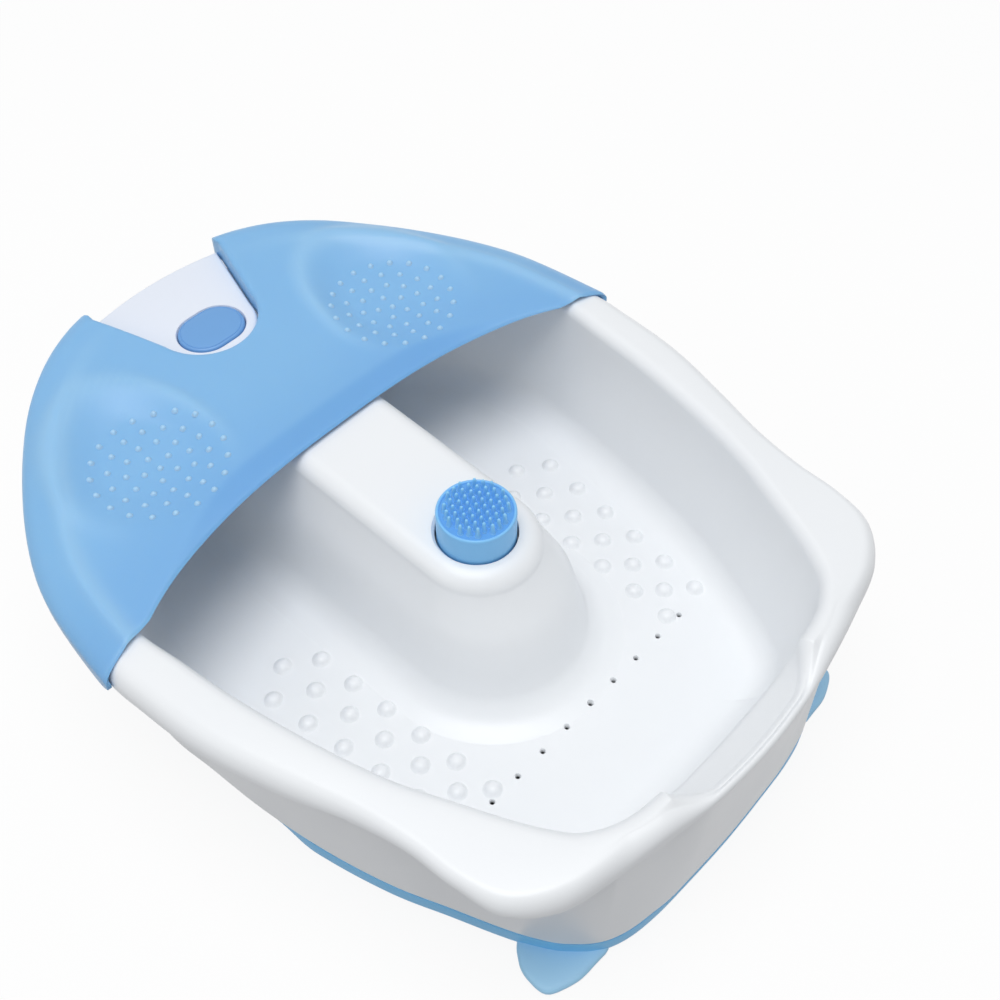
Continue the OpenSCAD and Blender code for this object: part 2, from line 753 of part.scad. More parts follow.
module switch_housing() {
    color(rubber)
        translate([0, button_y, 0])
            difference() {
                translate([0, 0, housing_floor])
                    cylinder(r = housing_r, h = housing_depth);
                translate([0, 0, housing_floor + housing_wall])
                    cylinder(r = housing_r - housing_wall, h = housing_depth);
                translate([0, 0, housing_floor - cut])
                    cylinder(r = plunger_r + plunger_room, h = housing_wall + 2 * cut);
            }
}

module push_switch() {
    color(rubber)
        translate([0, button_y, switch_top - switch_size[2]])
            difference() {
                translate([-switch_size[0] / 2, -switch_size[1] / 2, 0])
                    cube(switch_size);
                translate([0, 0, switch_size[2] - plunger_in - button_travel - cut])
                    cylinder(r = plunger_r + run_gap, h = plunger_in + button_travel + 2 * cut);
            }
}

module switch_plunger() {
    color(white)
        translate([0, button_y, switch_top - plunger_in])
            cylinder(r = plunger_r, h = plunger_out + plunger_in);
}

// Massage brush and its socket
brush_sunk = 12;
brush_top = arm_h + brush_h;
brush_low = arm_h - brush_sunk;
brush_edge = 1;
brush_dish = 1;
brush_rim = 1.4;
brush_rim_lean = 0.6;
peg_r = 5;
peg_l = 8;
peg_gap = 0.1;
sleeve_r = peg_r + peg_gap;
socket_floor = 2;
socket_low = brush_low - socket_floor - seat_gap;
socket_top = arm_h - 1.5;
pin_r = 1.35;
pin_tip_r = 0.8;
pin_row_reach = 4;
pin_pitch = 4.4;
pin_field_r = brush_d / 2 - brush_rim - brush_rim_lean - pin_r - 0.2;

module massage_brush() {
    color(blue)
        translate([0, -brush_y, 0]) {
            rotate_extrude()
                polygon([[0, brush_low], [brush_d / 2 - brush_edge, brush_low],
                    [brush_d / 2, brush_low + brush_edge], [brush_d / 2, brush_top - brush_edge],
                    [brush_d / 2 - brush_edge, brush_top], [brush_d / 2 - brush_rim, brush_top],
                    [brush_d / 2 - brush_rim - brush_rim_lean, brush_top - brush_dish],
                    [0, brush_top - brush_dish]]);
            translate([0, 0, brush_low - peg_l])
                cylinder(r = peg_r, h = peg_l + cut);
            for (row = [-pin_row_reach : pin_row_reach], k = [0 : 2 * pin_row_reach - abs(row)]) {
                spot = [(k - pin_row_reach + abs(row) / 2) * pin_pitch, row * pin_pitch * sqrt(3) / 2];
                if (norm(spot) < pin_field_r)
                    translate([spot[0], spot[1], brush_top - brush_dish - cut])
                        cylinder(r1 = pin_r, r2 = pin_tip_r, h = pin_l + cut, $fn = 16);
            }
        }
}

module brush_socket() {
    color(white)
        translate([0, -brush_y, 0])
            rotate_extrude()
                polygon([[sleeve_r, socket_low - peg_l], [sleeve_r + socket_floor, socket_low - peg_l],
                    [sleeve_r + socket_floor, socket_low], [socket_r, socket_low], [socket_r, socket_top],
                    [socket_r - socket_wall, socket_top],
                    [socket_r - socket_wall, socket_low + socket_floor],
                    [sleeve_r, socket_low + socket_floor]]);
}

// Base pan with its band, feet and vents
upstand_h = 8;
upstand_t = 2;
rest_height = 1.2;
pad_edge = 1;
pad_inset = 5;
pad_r = foot_r - pad_inset;
pad_in = 1;
pad_gap = 0.2;
rear_foot_inset = 20;
front_foot = plan_point(plan_at(4.5), SKIRT, 0);
rear_foot = plan_point(plan_at(guard_station + 2), SKIRT, -rear_foot_inset);
feet = [front_foot, rear_foot];
foot_top = skirt_z - 3;
foot_shoulder = 7;
vent_count = 7;
vent_w = 3;
vent_l = 34;
vent_pitch = 7;
screw_r = 1.8;
screw_gap = 0.2;
head_r = 3.6;
head_h = 2;
head_sunk = 1.4;
band_gap = 0.1;

module foot_shape() {
    rotate_extrude()
        polygon([[0, rest_height], [foot_r - 1, rest_height], [foot_r, rest_height + 1],
            [foot_r, rest_height + 3], [foot_r - 2.5, foot_top - 2], [foot_r - foot_shoulder, foot_top],
            [0, foot_top]]);
}

module at_feet() {
    both_sides()
        for (f = feet)
            translate([f[0], f[1], 0])
                children();
}

module at_posts() {
    both_sides()
        for (s = post_spots)
            translate([s[0], s[1], 0])
                children();
}

module base_pan() {
    color(blue)
        difference() {
            union() {
                translate([0, 0, pan_z])
                    linear_extrude(band_h - band_gap)
                        polygon(plan_ring(SKIRT, 0));
                translate([0, 0, pan_z])
                    linear_extrude(band_h + upstand_h)
                        polygon(plan_ring(SKIRT, -wall - seat_gap));
                at_feet()
                    foot_shape();
            }
            translate([0, 0, pan_top])
                linear_extrude(band_h + upstand_h)
                    polygon(plan_ring(SKIRT, -wall - seat_gap - upstand_t));
            at_feet()
                translate([0, 0, rest_height - cut])
                    cylinder(r = pad_r + pad_gap, h = cut + pad_in);
            at_posts() {
                translate([0, 0, -cut])
                    cylinder(r = screw_r + screw_gap, h = pan_top + 2 * cut);
                translate([0, 0, -cut])
                    cylinder(r = head_r + screw_gap, h = pan_z + cut + head_sunk);
            }
            for (k = [0 : vent_count - 1])
                translate([(k - (vent_count - 1) / 2) * vent_pitch - vent_w / 2,
                        blower_y - vent_l / 2, pan_z - cut])
                    cube([vent_w, vent_l, pan_t + 2 * cut]);
            for (x = [-clamp_x, clamp_x])
                translate([x, clamp_y, pan_z - cut])
                    cylinder(r = pilot_r, h = pan_t + 2 * cut);
        }
}

module foot_pads() {
    color(rubber)
        at_feet()
            rotate_extrude()
                polygon([[0, 0], [pad_r - pad_edge, 0], [pad_r, pad_edge], [pad_r, rest_height + pad_in],
                    [0, rest_height + pad_in]]);
}

// Blower: a scroll housing on the pan, a fan inside, the motor on top
scroll_gap = 8;
scroll_r = fan_r + scroll_gap;
scroll_wall = 2;
scroll_floor = 2;
scroll_h = 19;
cover_t = 2;
cover_z = pan_top + scroll_floor + scroll_h;
duct_x = scroll_r - 13;
duct_w = 22;
duct_z = pan_top + scroll_floor + scroll_h / 2;
hose_in_r = 7;
spigot_wall = 1.4;
duct_end = scroll_r + 14;
spigot_l = 14;
intake_r = 20;
lug_r = 5;
lug_spots = [90, 200, 320];
gasket_t = 2;
motor_z = cover_z + cover_t + gasket_t;
shaft_low = pan_top + scroll_floor + 2;
lug_pilot = 10;
boss_h = 4;

module at_lugs() {
    for (a = lug_spots)
        rotate([0, 0, a])
            translate([scroll_r + scroll_wall + lug_r - 1, 0, 0])
                children();
}

module scroll_outline(grow) {
    circle(r = scroll_r + grow);
    translate([duct_x - duct_w / 2 - grow, -duct_end - grow])
        square([duct_w + 2 * grow, duct_end + grow]);
}

module blower_base() {
    color(white)
        translate([0, blower_y, pan_top]) {
            difference() {
                union() {
                    linear_extrude(scroll_floor + scroll_h)
                        scroll_outline(scroll_wall);
                    at_lugs()
                        cylinder(r = lug_r, h = scroll_floor + scroll_h);
                    translate([duct_x, -duct_end, scroll_floor + scroll_h / 2])
                        rotate([90, 0, 0])
                            cylinder(r = hose_in_r + spigot_wall, h = spigot_l);
                }
                translate([0, 0, scroll_floor])
                    linear_extrude(scroll_h + 1)
                        scroll_outline(0);
                translate([0, 0, -cut])
                    cylinder(r = intake_r, h = scroll_floor + 2 * cut);
                translate([duct_x, -duct_end + cut, scroll_floor + scroll_h / 2])
                    rotate([90, 0, 0])
                        cylinder(r = hose_in_r, h = spigot_l + 2 * cut);
                at_lugs()
                    translate([0, 0, scroll_floor + scroll_h - lug_pilot])
                        cylinder(r = pilot_r, h = lug_pilot + cut);
            }
        }
}

module blower_cover() {
    color(white)
        translate([0, blower_y, cover_z])
            difference() {
                union() {
                    linear_extrude(cover_t)
                        scroll_outline(scroll_wall);
                    at_lugs()
                        cylinder(r = lug_r, h = cover_t);
                    for (x = [-1, 1])
                        translate([x * bracket_x, 0, 0])
                            cylinder(r = bracket_w / 2, h = cover_t + boss_h);
                }
                translate([0, 0, -cut])
                    cylinder(r = shaft_r + shaft_room, h = cover_t + 2 * cut);
                at_lugs()
                    translate([0, 0, -cut])
                        cylinder(r = screw_r, h = cover_t + 2 * cut);
                for (x = [-1, 1])
                    translate([x * bracket_x, 0, -cut])
                        cylinder(r = pilot_r, h = cover_t + boss_h + 2 * cut);
            }
}

fan_low = shaft_low + 2;
fan_plate_t = 2;
fan_plate_z = cover_z - 2 * fan_plate_t;
fan_fit = 0.02;
blade_t = 1.4;
blade_angle = 35;
blade_root = 0.58;
blade_reach = 0.4;
hub_r = 8;
shaft_room = 2;
motor_cap_h = 4;
motor_cap_in = 4;
gasket_w = 6;

module fan() {
    color(metal)
        translate([0, blower_y, 0])
            difference() {
                union() {
                    translate([0, 0, fan_plate_z])
                        cylinder(r = fan_r, h = fan_plate_t);
                    translate([0, 0, fan_low])
                        cylinder(r = hub_r, h = fan_plate_z - fan_low + cut);
                    for (k = [0 : fan_blades - 1])
                        rotate([0, 0, 360 * k / fan_blades])
                            translate([blade_root * fan_r, 0, fan_low])
                                rotate([0, 0, blade_angle])
                                    translate([0, -blade_t / 2, 0])
                                        cube([blade_reach * fan_r, blade_t, fan_plate_z - fan_low + cut]);
                }
                translate([0, 0, fan_low - cut])
                    cylinder(r = shaft_r + fan_fit, h = scroll_h);
            }
}

module motor_shaft() {
    color(metal)
        translate([0, blower_y, shaft_low])
            cylinder(r = shaft_r, h = motor_z + motor_l - motor_cap_h - shaft_low);
}

module motor() {
    color(metal)
        translate([0, blower_y, motor_z])
            difference() {
                union() {
                    cylinder(r = motor_r, h = motor_l - motor_cap_h);
                    translate([0, 0, motor_l - motor_cap_h])
                        cylinder(r = motor_r - motor_cap_in, h = motor_cap_h);
                }
                translate([0, 0, -cut])
                    cylinder(r = shaft_r + run_gap, h = motor_l - motor_cap_h + 2 * cut);
            }
}

module motor_gasket() {
    color(rubber)
        translate([0, blower_y, cover_z + cover_t])
            difference() {
                cylinder(r = motor_r, h = gasket_t);
                translate([0, 0, -cut])
                    cylinder(r = motor_r - gasket_w, h = gasket_t + 2 * cut);
            }
}

bracket_t = 2;
bracket_w = 12;
bracket_gap = 1;
bracket_leg_x = motor_r + bracket_gap;
bracket_x = bracket_leg_x + bracket_t + bracket_w / 2 - 1;
bracket_foot_z = cover_z + cover_t + boss_h;

module motor_bracket() {
    color(metal)
        translate([0, blower_y, 0]) {
            translate([-bracket_leg_x - bracket_t, -bracket_w / 2, motor_z + motor_l])
                cube([2 * (bracket_leg_x + bracket_t), bracket_w, bracket_t]);
            both_sides() {
                translate([bracket_leg_x, -bracket_w / 2, bracket_foot_z])
                    cube([bracket_t, bracket_w, motor_z + motor_l - bracket_foot_z + bracket_t]);
                difference() {
                    translate([bracket_leg_x, -bracket_w / 2, bracket_foot_z])
                        cube([bracket_x + bracket_w / 2 - bracket_leg_x, bracket_w, bracket_t]);
                    translate([bracket_x, 0, bracket_foot_z - cut])
                        cylinder(r = screw_r, h = bracket_t + 2 * cut);
                }
            }
        }
}

// Air path: a hose from the blower to a channel under the row of air holes
manifold_w = 18;
manifold_wall = 2;
manifold_low = pan_top + 4;
floor_under = floor_h - wall;
hose_t = 1.8;
hose_end_gap = 0.2;
hose_front = manifold_y + manifold_w / 2 + hose_end_gap;
hose_rear = blower_y - duct_end - scroll_wall - hose_end_gap;

module air_hose() {
    color(rubber)
        translate([duct_x, hose_rear, duct_z])
            rotate([90, 0, 0])
                difference() {
                    cylinder(r = hose_in_r + spigot_wall + hose_t, h = hose_rear - hose_front);
                    translate([0, 0, -cut])
                        cylinder(r = hose_in_r + spigot_wall + run_gap,
                            h = hose_rear - hose_front + 2 * cut);
                }
}

module air_manifold() {
    color(white)
        difference() {
            union() {
                translate([-manifold_l / 2, manifold_y - manifold_w / 2, manifold_low])
                    cube([manifold_l, manifold_w, floor_under - manifold_low]);
                translate([duct_x, manifold_y + manifold_w / 2 + spigot_l, duct_z])
                    rotate([90, 0, 0])
                        cylinder(r = hose_in_r + spigot_wall, h = spigot_l + cut);
            }
            translate([-manifold_l / 2 + manifold_wall, manifold_y - manifold_w / 2 + manifold_wall,
                    manifold_low + manifold_wall])
                cube([manifold_l - 2 * manifold_wall, manifold_w - 2 * manifold_wall, floor_under]);
            translate([duct_x, manifold_y + manifold_w / 2 + spigot_l + cut, duct_z])
                rotate([90, 0, 0])
                    cylinder(r = hose_in_r, h = spigot_l + manifold_wall + 2 * cut);
        }
}

// Heater pads under the floor and the cut-out on one of them
heater_size = [44, 60, 1.6];
heater_station = plan_at(11);
heater_spot = [(arm_w / 2 + arm_foot_out + heater_station[0] - bowl_floor_inset) / 2, 10];
cutout_r = 9;
cutout_h = 8;

module heater_plates() {
    color(metal)
        for (side = [-1, 1])
            translate([side * heater_spot[0] - heater_size[0] / 2, heater_spot[1] - heater_size[1] / 2,
                    floor_under - heater_size[2]])
                cube(heater_size);
}

module thermal_cutout() {
    color(rubber)
        translate([heater_spot[0], heater_spot[1], floor_under - heater_size[2] - cutout_h])
            cylinder(r = cutout_r, h = cutout_h);
}

// Wiring points and the cord's inlet
terminal_size = [40, 16, 14];
terminal_y = rear_y - 92;
terminal_holes = 4;
terminal_pitch = 9;
terminal_floor = 3;
terminal_hole_r = 2;

module terminal_block() {
    color(white)
        translate([0, terminal_y, pan_top])
            difference() {
                translate([-terminal_size[0] / 2, -terminal_size[1] / 2, 0])
                    cube(terminal_size);
                for (k = [0 : terminal_holes - 1])
                    translate([(k - (terminal_holes - 1) / 2) * terminal_pitch, 0, terminal_floor])
                        cylinder(r = terminal_hole_r, h = terminal_size[2]);
            }
}

skirt_rear_y = plan_point(plan_at(last_station), SKIRT, 0)[1];
gland_l = 16;
gland_lip = 3;
gland_seat = 0.8;
gland_lip_w = 2.5;

module cord_gland() {
    color(rubber)
        translate([0, skirt_rear_y + gland_seat + gland_lip, gland_z])
            rotate([90, 0, 0])
                difference() {
                    union() {
                        cylinder(r = gland_r, h = gland_l);
                        cylinder(r = gland_r + gland_lip_w, h = gland_lip);
                    }
                    translate([0, 0, -cut])
                        cylinder(r = gland_bore / 2, h = gland_l + 2 * cut);
                }
}

clamp_x = 10;
clamp_y = rear_y - 46;
clamp_h = 9;
clamp_side = 5;

module cord_clamp() {
    color(white)
        difference() {
            translate([-clamp_x - clamp_side, clamp_y - clamp_side, pan_top])
                cube([2 * (clamp_x + clamp_side), 2 * clamp_side, clamp_h]);
            translate([0, clamp_y + clamp_side + cut, pan_top])
                rotate([90, 0, 0])
                    cylinder(r = gland_bore / 2, h = 2 * (clamp_side + cut));
            for (x = [-clamp_x, clamp_x])
                translate([x, clamp_y, pan_top - cut])
                    cylinder(r = screw_r, h = clamp_h + 2 * cut);
        }
}

// Screws
bite = 5;

module screw(length) {
    cylinder(r = head_r, h = head_h);
    translate([0, 0, head_h - eps])
        cylinder(r = pilot_r - thread_gap, h = length);
}

module base_screws() {
    color(metal)
        at_posts()
            translate([0, 0, pan_z + head_sunk - head_h])
                screw(pan_t + 2 * bite);
}

module bracket_screws() {
    color(metal)
        for (x = [-1, 1])
            translate([x * bracket_x, blower_y, bracket_foot_z + bracket_t + head_h])
                mirror([0, 0, 1])
                    screw(bracket_t + bite);
}

module blower_screws() {
    color(metal)
        translate([0, blower_y, cover_z + cover_t + head_h])
            at_lugs()
                mirror([0, 0, 1])
                    screw(cover_t + bite);
}

module clamp_screws() {
    color(metal)
        for (x = [-clamp_x, clamp_x])
            translate([x, clamp_y, pan_top + clamp_h + head_h])
                mirror([0, 0, 1])
                    screw(clamp_h + pan_t - cut);
}

module panel_screws() {
    color(metal)
        for (x = [-panel_screw_x, panel_screw_x])
            translate([x, panel_screw_y, panel_z - wall - head_h])
                screw(wall + panel_t / 2);
}

basin();
splash_guard();
control_panel();
toe_button();
button_spring();
switch_housing();
push_switch();
switch_plunger();
massage_brush();
brush_socket();
base_pan();
foot_pads();
blower_base();
blower_cover();
fan();
motor_shaft();
motor();
motor_gasket();
motor_bracket();
air_hose();
air_manifold();
heater_plates();
thermal_cutout();
terminal_block();
cord_gland();
cord_clamp();
base_screws();
bracket_screws();
blower_screws();
clamp_screws();
panel_screws();
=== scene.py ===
import math
import bpy
import bmesh
import numpy as np
from mathutils import Matrix, Vector


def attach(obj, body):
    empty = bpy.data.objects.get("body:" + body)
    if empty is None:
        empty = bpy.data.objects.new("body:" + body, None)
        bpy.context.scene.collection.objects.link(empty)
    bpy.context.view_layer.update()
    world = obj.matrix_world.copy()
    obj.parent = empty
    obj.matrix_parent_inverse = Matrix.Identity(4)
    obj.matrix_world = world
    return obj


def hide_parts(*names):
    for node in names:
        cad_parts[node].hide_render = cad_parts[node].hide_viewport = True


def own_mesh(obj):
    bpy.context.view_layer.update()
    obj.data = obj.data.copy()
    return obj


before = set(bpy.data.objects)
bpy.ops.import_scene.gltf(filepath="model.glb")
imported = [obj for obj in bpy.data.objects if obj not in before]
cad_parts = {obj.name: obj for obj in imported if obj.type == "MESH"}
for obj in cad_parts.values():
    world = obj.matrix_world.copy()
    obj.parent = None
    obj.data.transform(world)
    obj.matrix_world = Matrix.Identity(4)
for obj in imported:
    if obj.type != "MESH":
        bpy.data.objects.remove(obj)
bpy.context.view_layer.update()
mm = 0.001
print("frame loaded:", len(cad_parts), "nodes")

# the photograph's view
camera = {"place": (-288.41, -321.71, 619.04), "target": (21.85, -38.0, 113.0), "lens": 46.06}

camData = bpy.data.cameras.new("spaCamera")
camData.lens = camera["lens"]
camData.sensor_width = 36
camObject = bpy.data.objects.new("spaCamera", camData)
bpy.context.scene.collection.objects.link(camObject)
camObject.location = Vector(camera["place"]) * mm
camObject.rotation_euler = (Vector(camera["target"]) - Vector(camera["place"])).to_track_quat("-Z", "Y").to_euler()
bpy.context.scene.camera = camObject
bpy.context.scene.view_settings.view_transform = "Standard"


# small tools

def smoothStep(t):
    t = max(0.0, min(1.0, t))
    return t * t * (3 - 2 * t)


def blendOf(a, b, t):
    return a + (b - a) * t


def deselectAll():
    if bpy.context.object and bpy.context.object.mode != "OBJECT":
        bpy.ops.object.mode_set(mode="OBJECT")
    bpy.ops.object.select_all(action="DESELECT")


def activate(piece):
    deselectAll()
    piece.select_set(True)
    bpy.context.view_layer.objects.active = piece


def loftRings(name, rings):
    # a circle is extruded ring by ring, and every new ring is laid on its own outline
    deselectAll()
    bpy.ops.mesh.primitive_circle_add(vertices=len(rings[0]), radius=0.1, fill_type="NOTHING")
    piece = bpy.context.object
    piece.name = name
    piece.data.name = name
    bpy.ops.object.mode_set(mode="EDIT")
    bpy.ops.mesh.select_mode(type="EDGE")
    bpy.ops.mesh.select_all(action="SELECT")
    mesh = bmesh.from_edit_mesh(piece.data)
    spot = mesh.verts.layers.int.new("spot")
    for k, v in enumerate(mesh.verts):
        v[spot] = k
        v.co = Vector(rings[0][k]) * mm
    bpy.ops.mesh.edge_face_add()
    for ring in rings[1:]:
        bpy.ops.mesh.extrude_edges_move()
        mesh = bmesh.from_edit_mesh(piece.data)
        spot = mesh.verts.layers.int["spot"]
        for v in mesh.verts:
            if v.select:
                v.co = Vector(ring[v[spot]]) * mm
    bpy.ops.mesh.edge_face_add()
    bpy.ops.mesh.select_all(action="SELECT")
    bpy.ops.mesh.normals_make_consistent(inside=False)
    bpy.ops.object.mode_set(mode="OBJECT")
    piece.data.attributes.remove(piece.data.attributes["spot"])
    return piece


def circleRing(radius, z, sides, centre=(0, 0)):
    turn = 2 * math.pi / sides
    return [(centre[0] + radius * math.cos(k * turn), centre[1] + radius * math.sin(k * turn), z)
            for k in range(sides)]


def turnedPiece(name, profile, sides=64, centre=(0, 0)):
    return loftRings(name, [circleRing(r, z, sides, centre) for r, z in profile])


def combine(piece, other, operation):
    cutter = piece.modifiers.new("fit", "BOOLEAN")
    cutter.operation = operation
    cutter.object = other
    cutter.solver = "EXACT"
    activate(piece)
    bpy.ops.object.modifier_apply(modifier=cutter.name)
    bpy.data.objects.remove(other)


def joinAll(piece, others):
    deselectAll()
    for other in others:
        other.select_set(True)
    piece.select_set(True)
    bpy.context.view_layer.objects.active = piece
    bpy.ops.object.join()


def copyAt(source, place):
    activate(source)
    bpy.ops.object.duplicate(linked=False)
    copy = bpy.context.object
    copy.data.transform(Matrix.Translation(Vector(place) * mm))
    return copy


def smoothShade(piece, angle):
    activate(piece)
    bpy.ops.object.shade_smooth_by_angle(angle=math.radians(angle))


def arcPoints(steps):
    # a quarter turn in equal steps
    return [math.radians(90 * (k / steps)) for k in range(steps + 1)]


def settle(piece, body, nodes):
    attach(piece, body)
    if nodes:
        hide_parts(*nodes)


# the plan: bowl edge x, y, rim edge x, y, skirt's distance outside the bowl edge
plan = {
    "side": [
        (0, -201, 0, -222, 14.5), (28, -200.5, 30, -220.5, 14.3), (54, -199.5, 58, -216.5, 14),
        (74, -196, 90, -210, 14.5), (89, -187.5, 119, -202, 11.5), (97, -177, 138.5, -186, 11),
        (105, -162, 145, -163, 10.5), (115, -139, 147, -138, 9.5), (127, -110, 152.5, -110, 8.5),
        (137, -73, 163.5, -75, 8), (145, -33, 173.5, -37, 6.5), (150, 5, 177.5, 0, 4.5), (153, 38, 178, 32, 3.5)],
    "rearBowl": (153, 40, 142), "rearRim": (178, 30, 192), "rearSwell": (-1.6, -4, -1, 2.4, 0),
    "rearInset": 14, "sideInset": 4.5, "rearRise": 7, "riseStart": 30, "rearY": 222,
    "flare": 2, "wall": 3, "tuck": 2, "tuckGap": 0.3, "shoulderLeast": 8.6,
    "steps": {"spout": 0.025, "front": 0.05, "rear": 0.0714285714},
}


def rearStation(k):
    c, s = math.cos(math.radians(18 * k)), math.sin(math.radians(18 * k))
    b, r, swell = plan["rearBowl"], plan["rearRim"], plan["rearSwell"][k - 1]
    bowl, rim = (b[0] * c, b[1] + b[2] * s), ((r[0] + swell) * c, r[1] + (r[2] + swell) * s)
    return (*bowl, *rim, math.dist(bowl, rim) - plan["rearInset"] - plan["sideInset"] * c)


stations = plan["side"] + [rearStation(k) for k in range(1, 6)]
lastStation = len(stations) - 1


def stationAt(i):
    if i < 0 or i > lastStation:
        s = stations[-i if i < 0 else 2 * lastStation - i]
        return (-s[0], s[1], -s[2], s[3], s[4])
    return stations[i]


def planAt(t):
    i = min(int(math.floor(t)), lastStation - 1)
    f = t - i
    a, b, c, d = (stationAt(i + k) for k in (-1, 0, 1, 2))
    return tuple((2 * q + (r - p) * f + (2 * p - 5 * q + 4 * r - s) * f * f + (3 * q - p - 3 * r + s) * f ** 3) / 2
                 for p, q, r, s in zip(a, b, c, d))


def riseAt(y):
    return plan["rearRise"] * smoothStep((y - plan["riseStart"]) / (plan["rearY"] - plan["riseStart"]))


class PlanSpot:
    # one place round the plan, with its bowl point and the way outwards
    def __init__(self, p):
        self.bowl = (p[0], p[1])
        self.rim = math.dist((p[0], p[1]), (p[2], p[3]))
        self.out = ((p[2] - p[0]) / self.rim, (p[3] - p[1]) / self.rim)
        self.skirt = p[4]
        most = self.rim - plan["wall"] - plan["tuck"] - plan["tuckGap"]
        self.shoulder = min(max(p[4] + plan["flare"], plan["shoulderLeast"]), most)

    def at(self, d):
        return (self.bowl[0] + self.out[0] * d, self.bowl[1] + self.out[1] * d)


# plan places lie closer together at the spout's tips
planPlaces = []
place = 0.0
while place < lastStation - 1e-6:
    planPlaces.append(place)
    place += plan["steps"]["spout" if 1.2 < place < 2.4 else "front" if place < 6.5 else "rear"]
halfSpots = [planAt(t) for t in planPlaces] + [planAt(lastStation)]
mirrorSpots = [(-p[0], p[1], -p[2], p[3], p[4]) for p in reversed(halfSpots[1:-1])]
planSpots = [PlanSpot(p) for p in halfSpots + mirrorSpots]
print("plan places:", len(planSpots))


# tub: one moulded shell from the floor over the rim to the skirt and back underneath
tub = {
    "rimH": 118, "floorH": 34, "wall": 3, "draft": 9, "floorRound": (18, 16), "innerRoll": 7, "outerRoll": 11,
    "lipLow": 105.2, "skirtLow": 14, "frontDip": 6, "dipFrom": 66, "dipRun": 26,
    "spoutOut": 54.5, "spoutIn": 30, "crestOut": 64, "crestIn": 34, "spoutTop": 109.2, "spoutRoll": 2.2,
    "waistFrom": (-190, 28), "waistTo": (-148, 80), "waistPull": 1.5, "waistRoll": 5, "waistTuck": 7,
    "waistX": 90, "frontY": -150, "glandZ": 34, "floorInset": 27, "postInset": 9.5, "postsAt": (6.6, 10, 13),
    "airAt": 7.6, "airInset": 19, "airHoles": 9,
}


def spoutShares(x, y):
    # how far the inner edge and the crest have gone down to the spout
    if y > tub["frontY"]:
        return 0.0, 0.0
    t = max(0.0, min(1.0, (tub["spoutOut"] - abs(x)) / (tub["spoutOut"] - tub["spoutIn"])))
    return 1 - (1 - t) ** 1.7, smoothStep((tub["crestOut"] - abs(x)) / (tub["crestOut"] - tub["crestIn"]))


def skirtLowAt(x, y):
    if y > tub["frontY"]:
        return tub["skirtLow"]
    return tub["skirtLow"] - tub["frontDip"] * smoothStep((tub["dipFrom"] - abs(x)) / tub["dipRun"])


def waistAt(x, y):
    # the rim is drawn in and rounder underneath at the narrow of both sides
    if abs(x) <= tub["waistX"]:
        return 0.0
    start, end = tub["waistFrom"], tub["waistTo"]
    return smoothStep((y - start[0]) / start[1]) * (1 - smoothStep((y - end[0]) / end[1]))


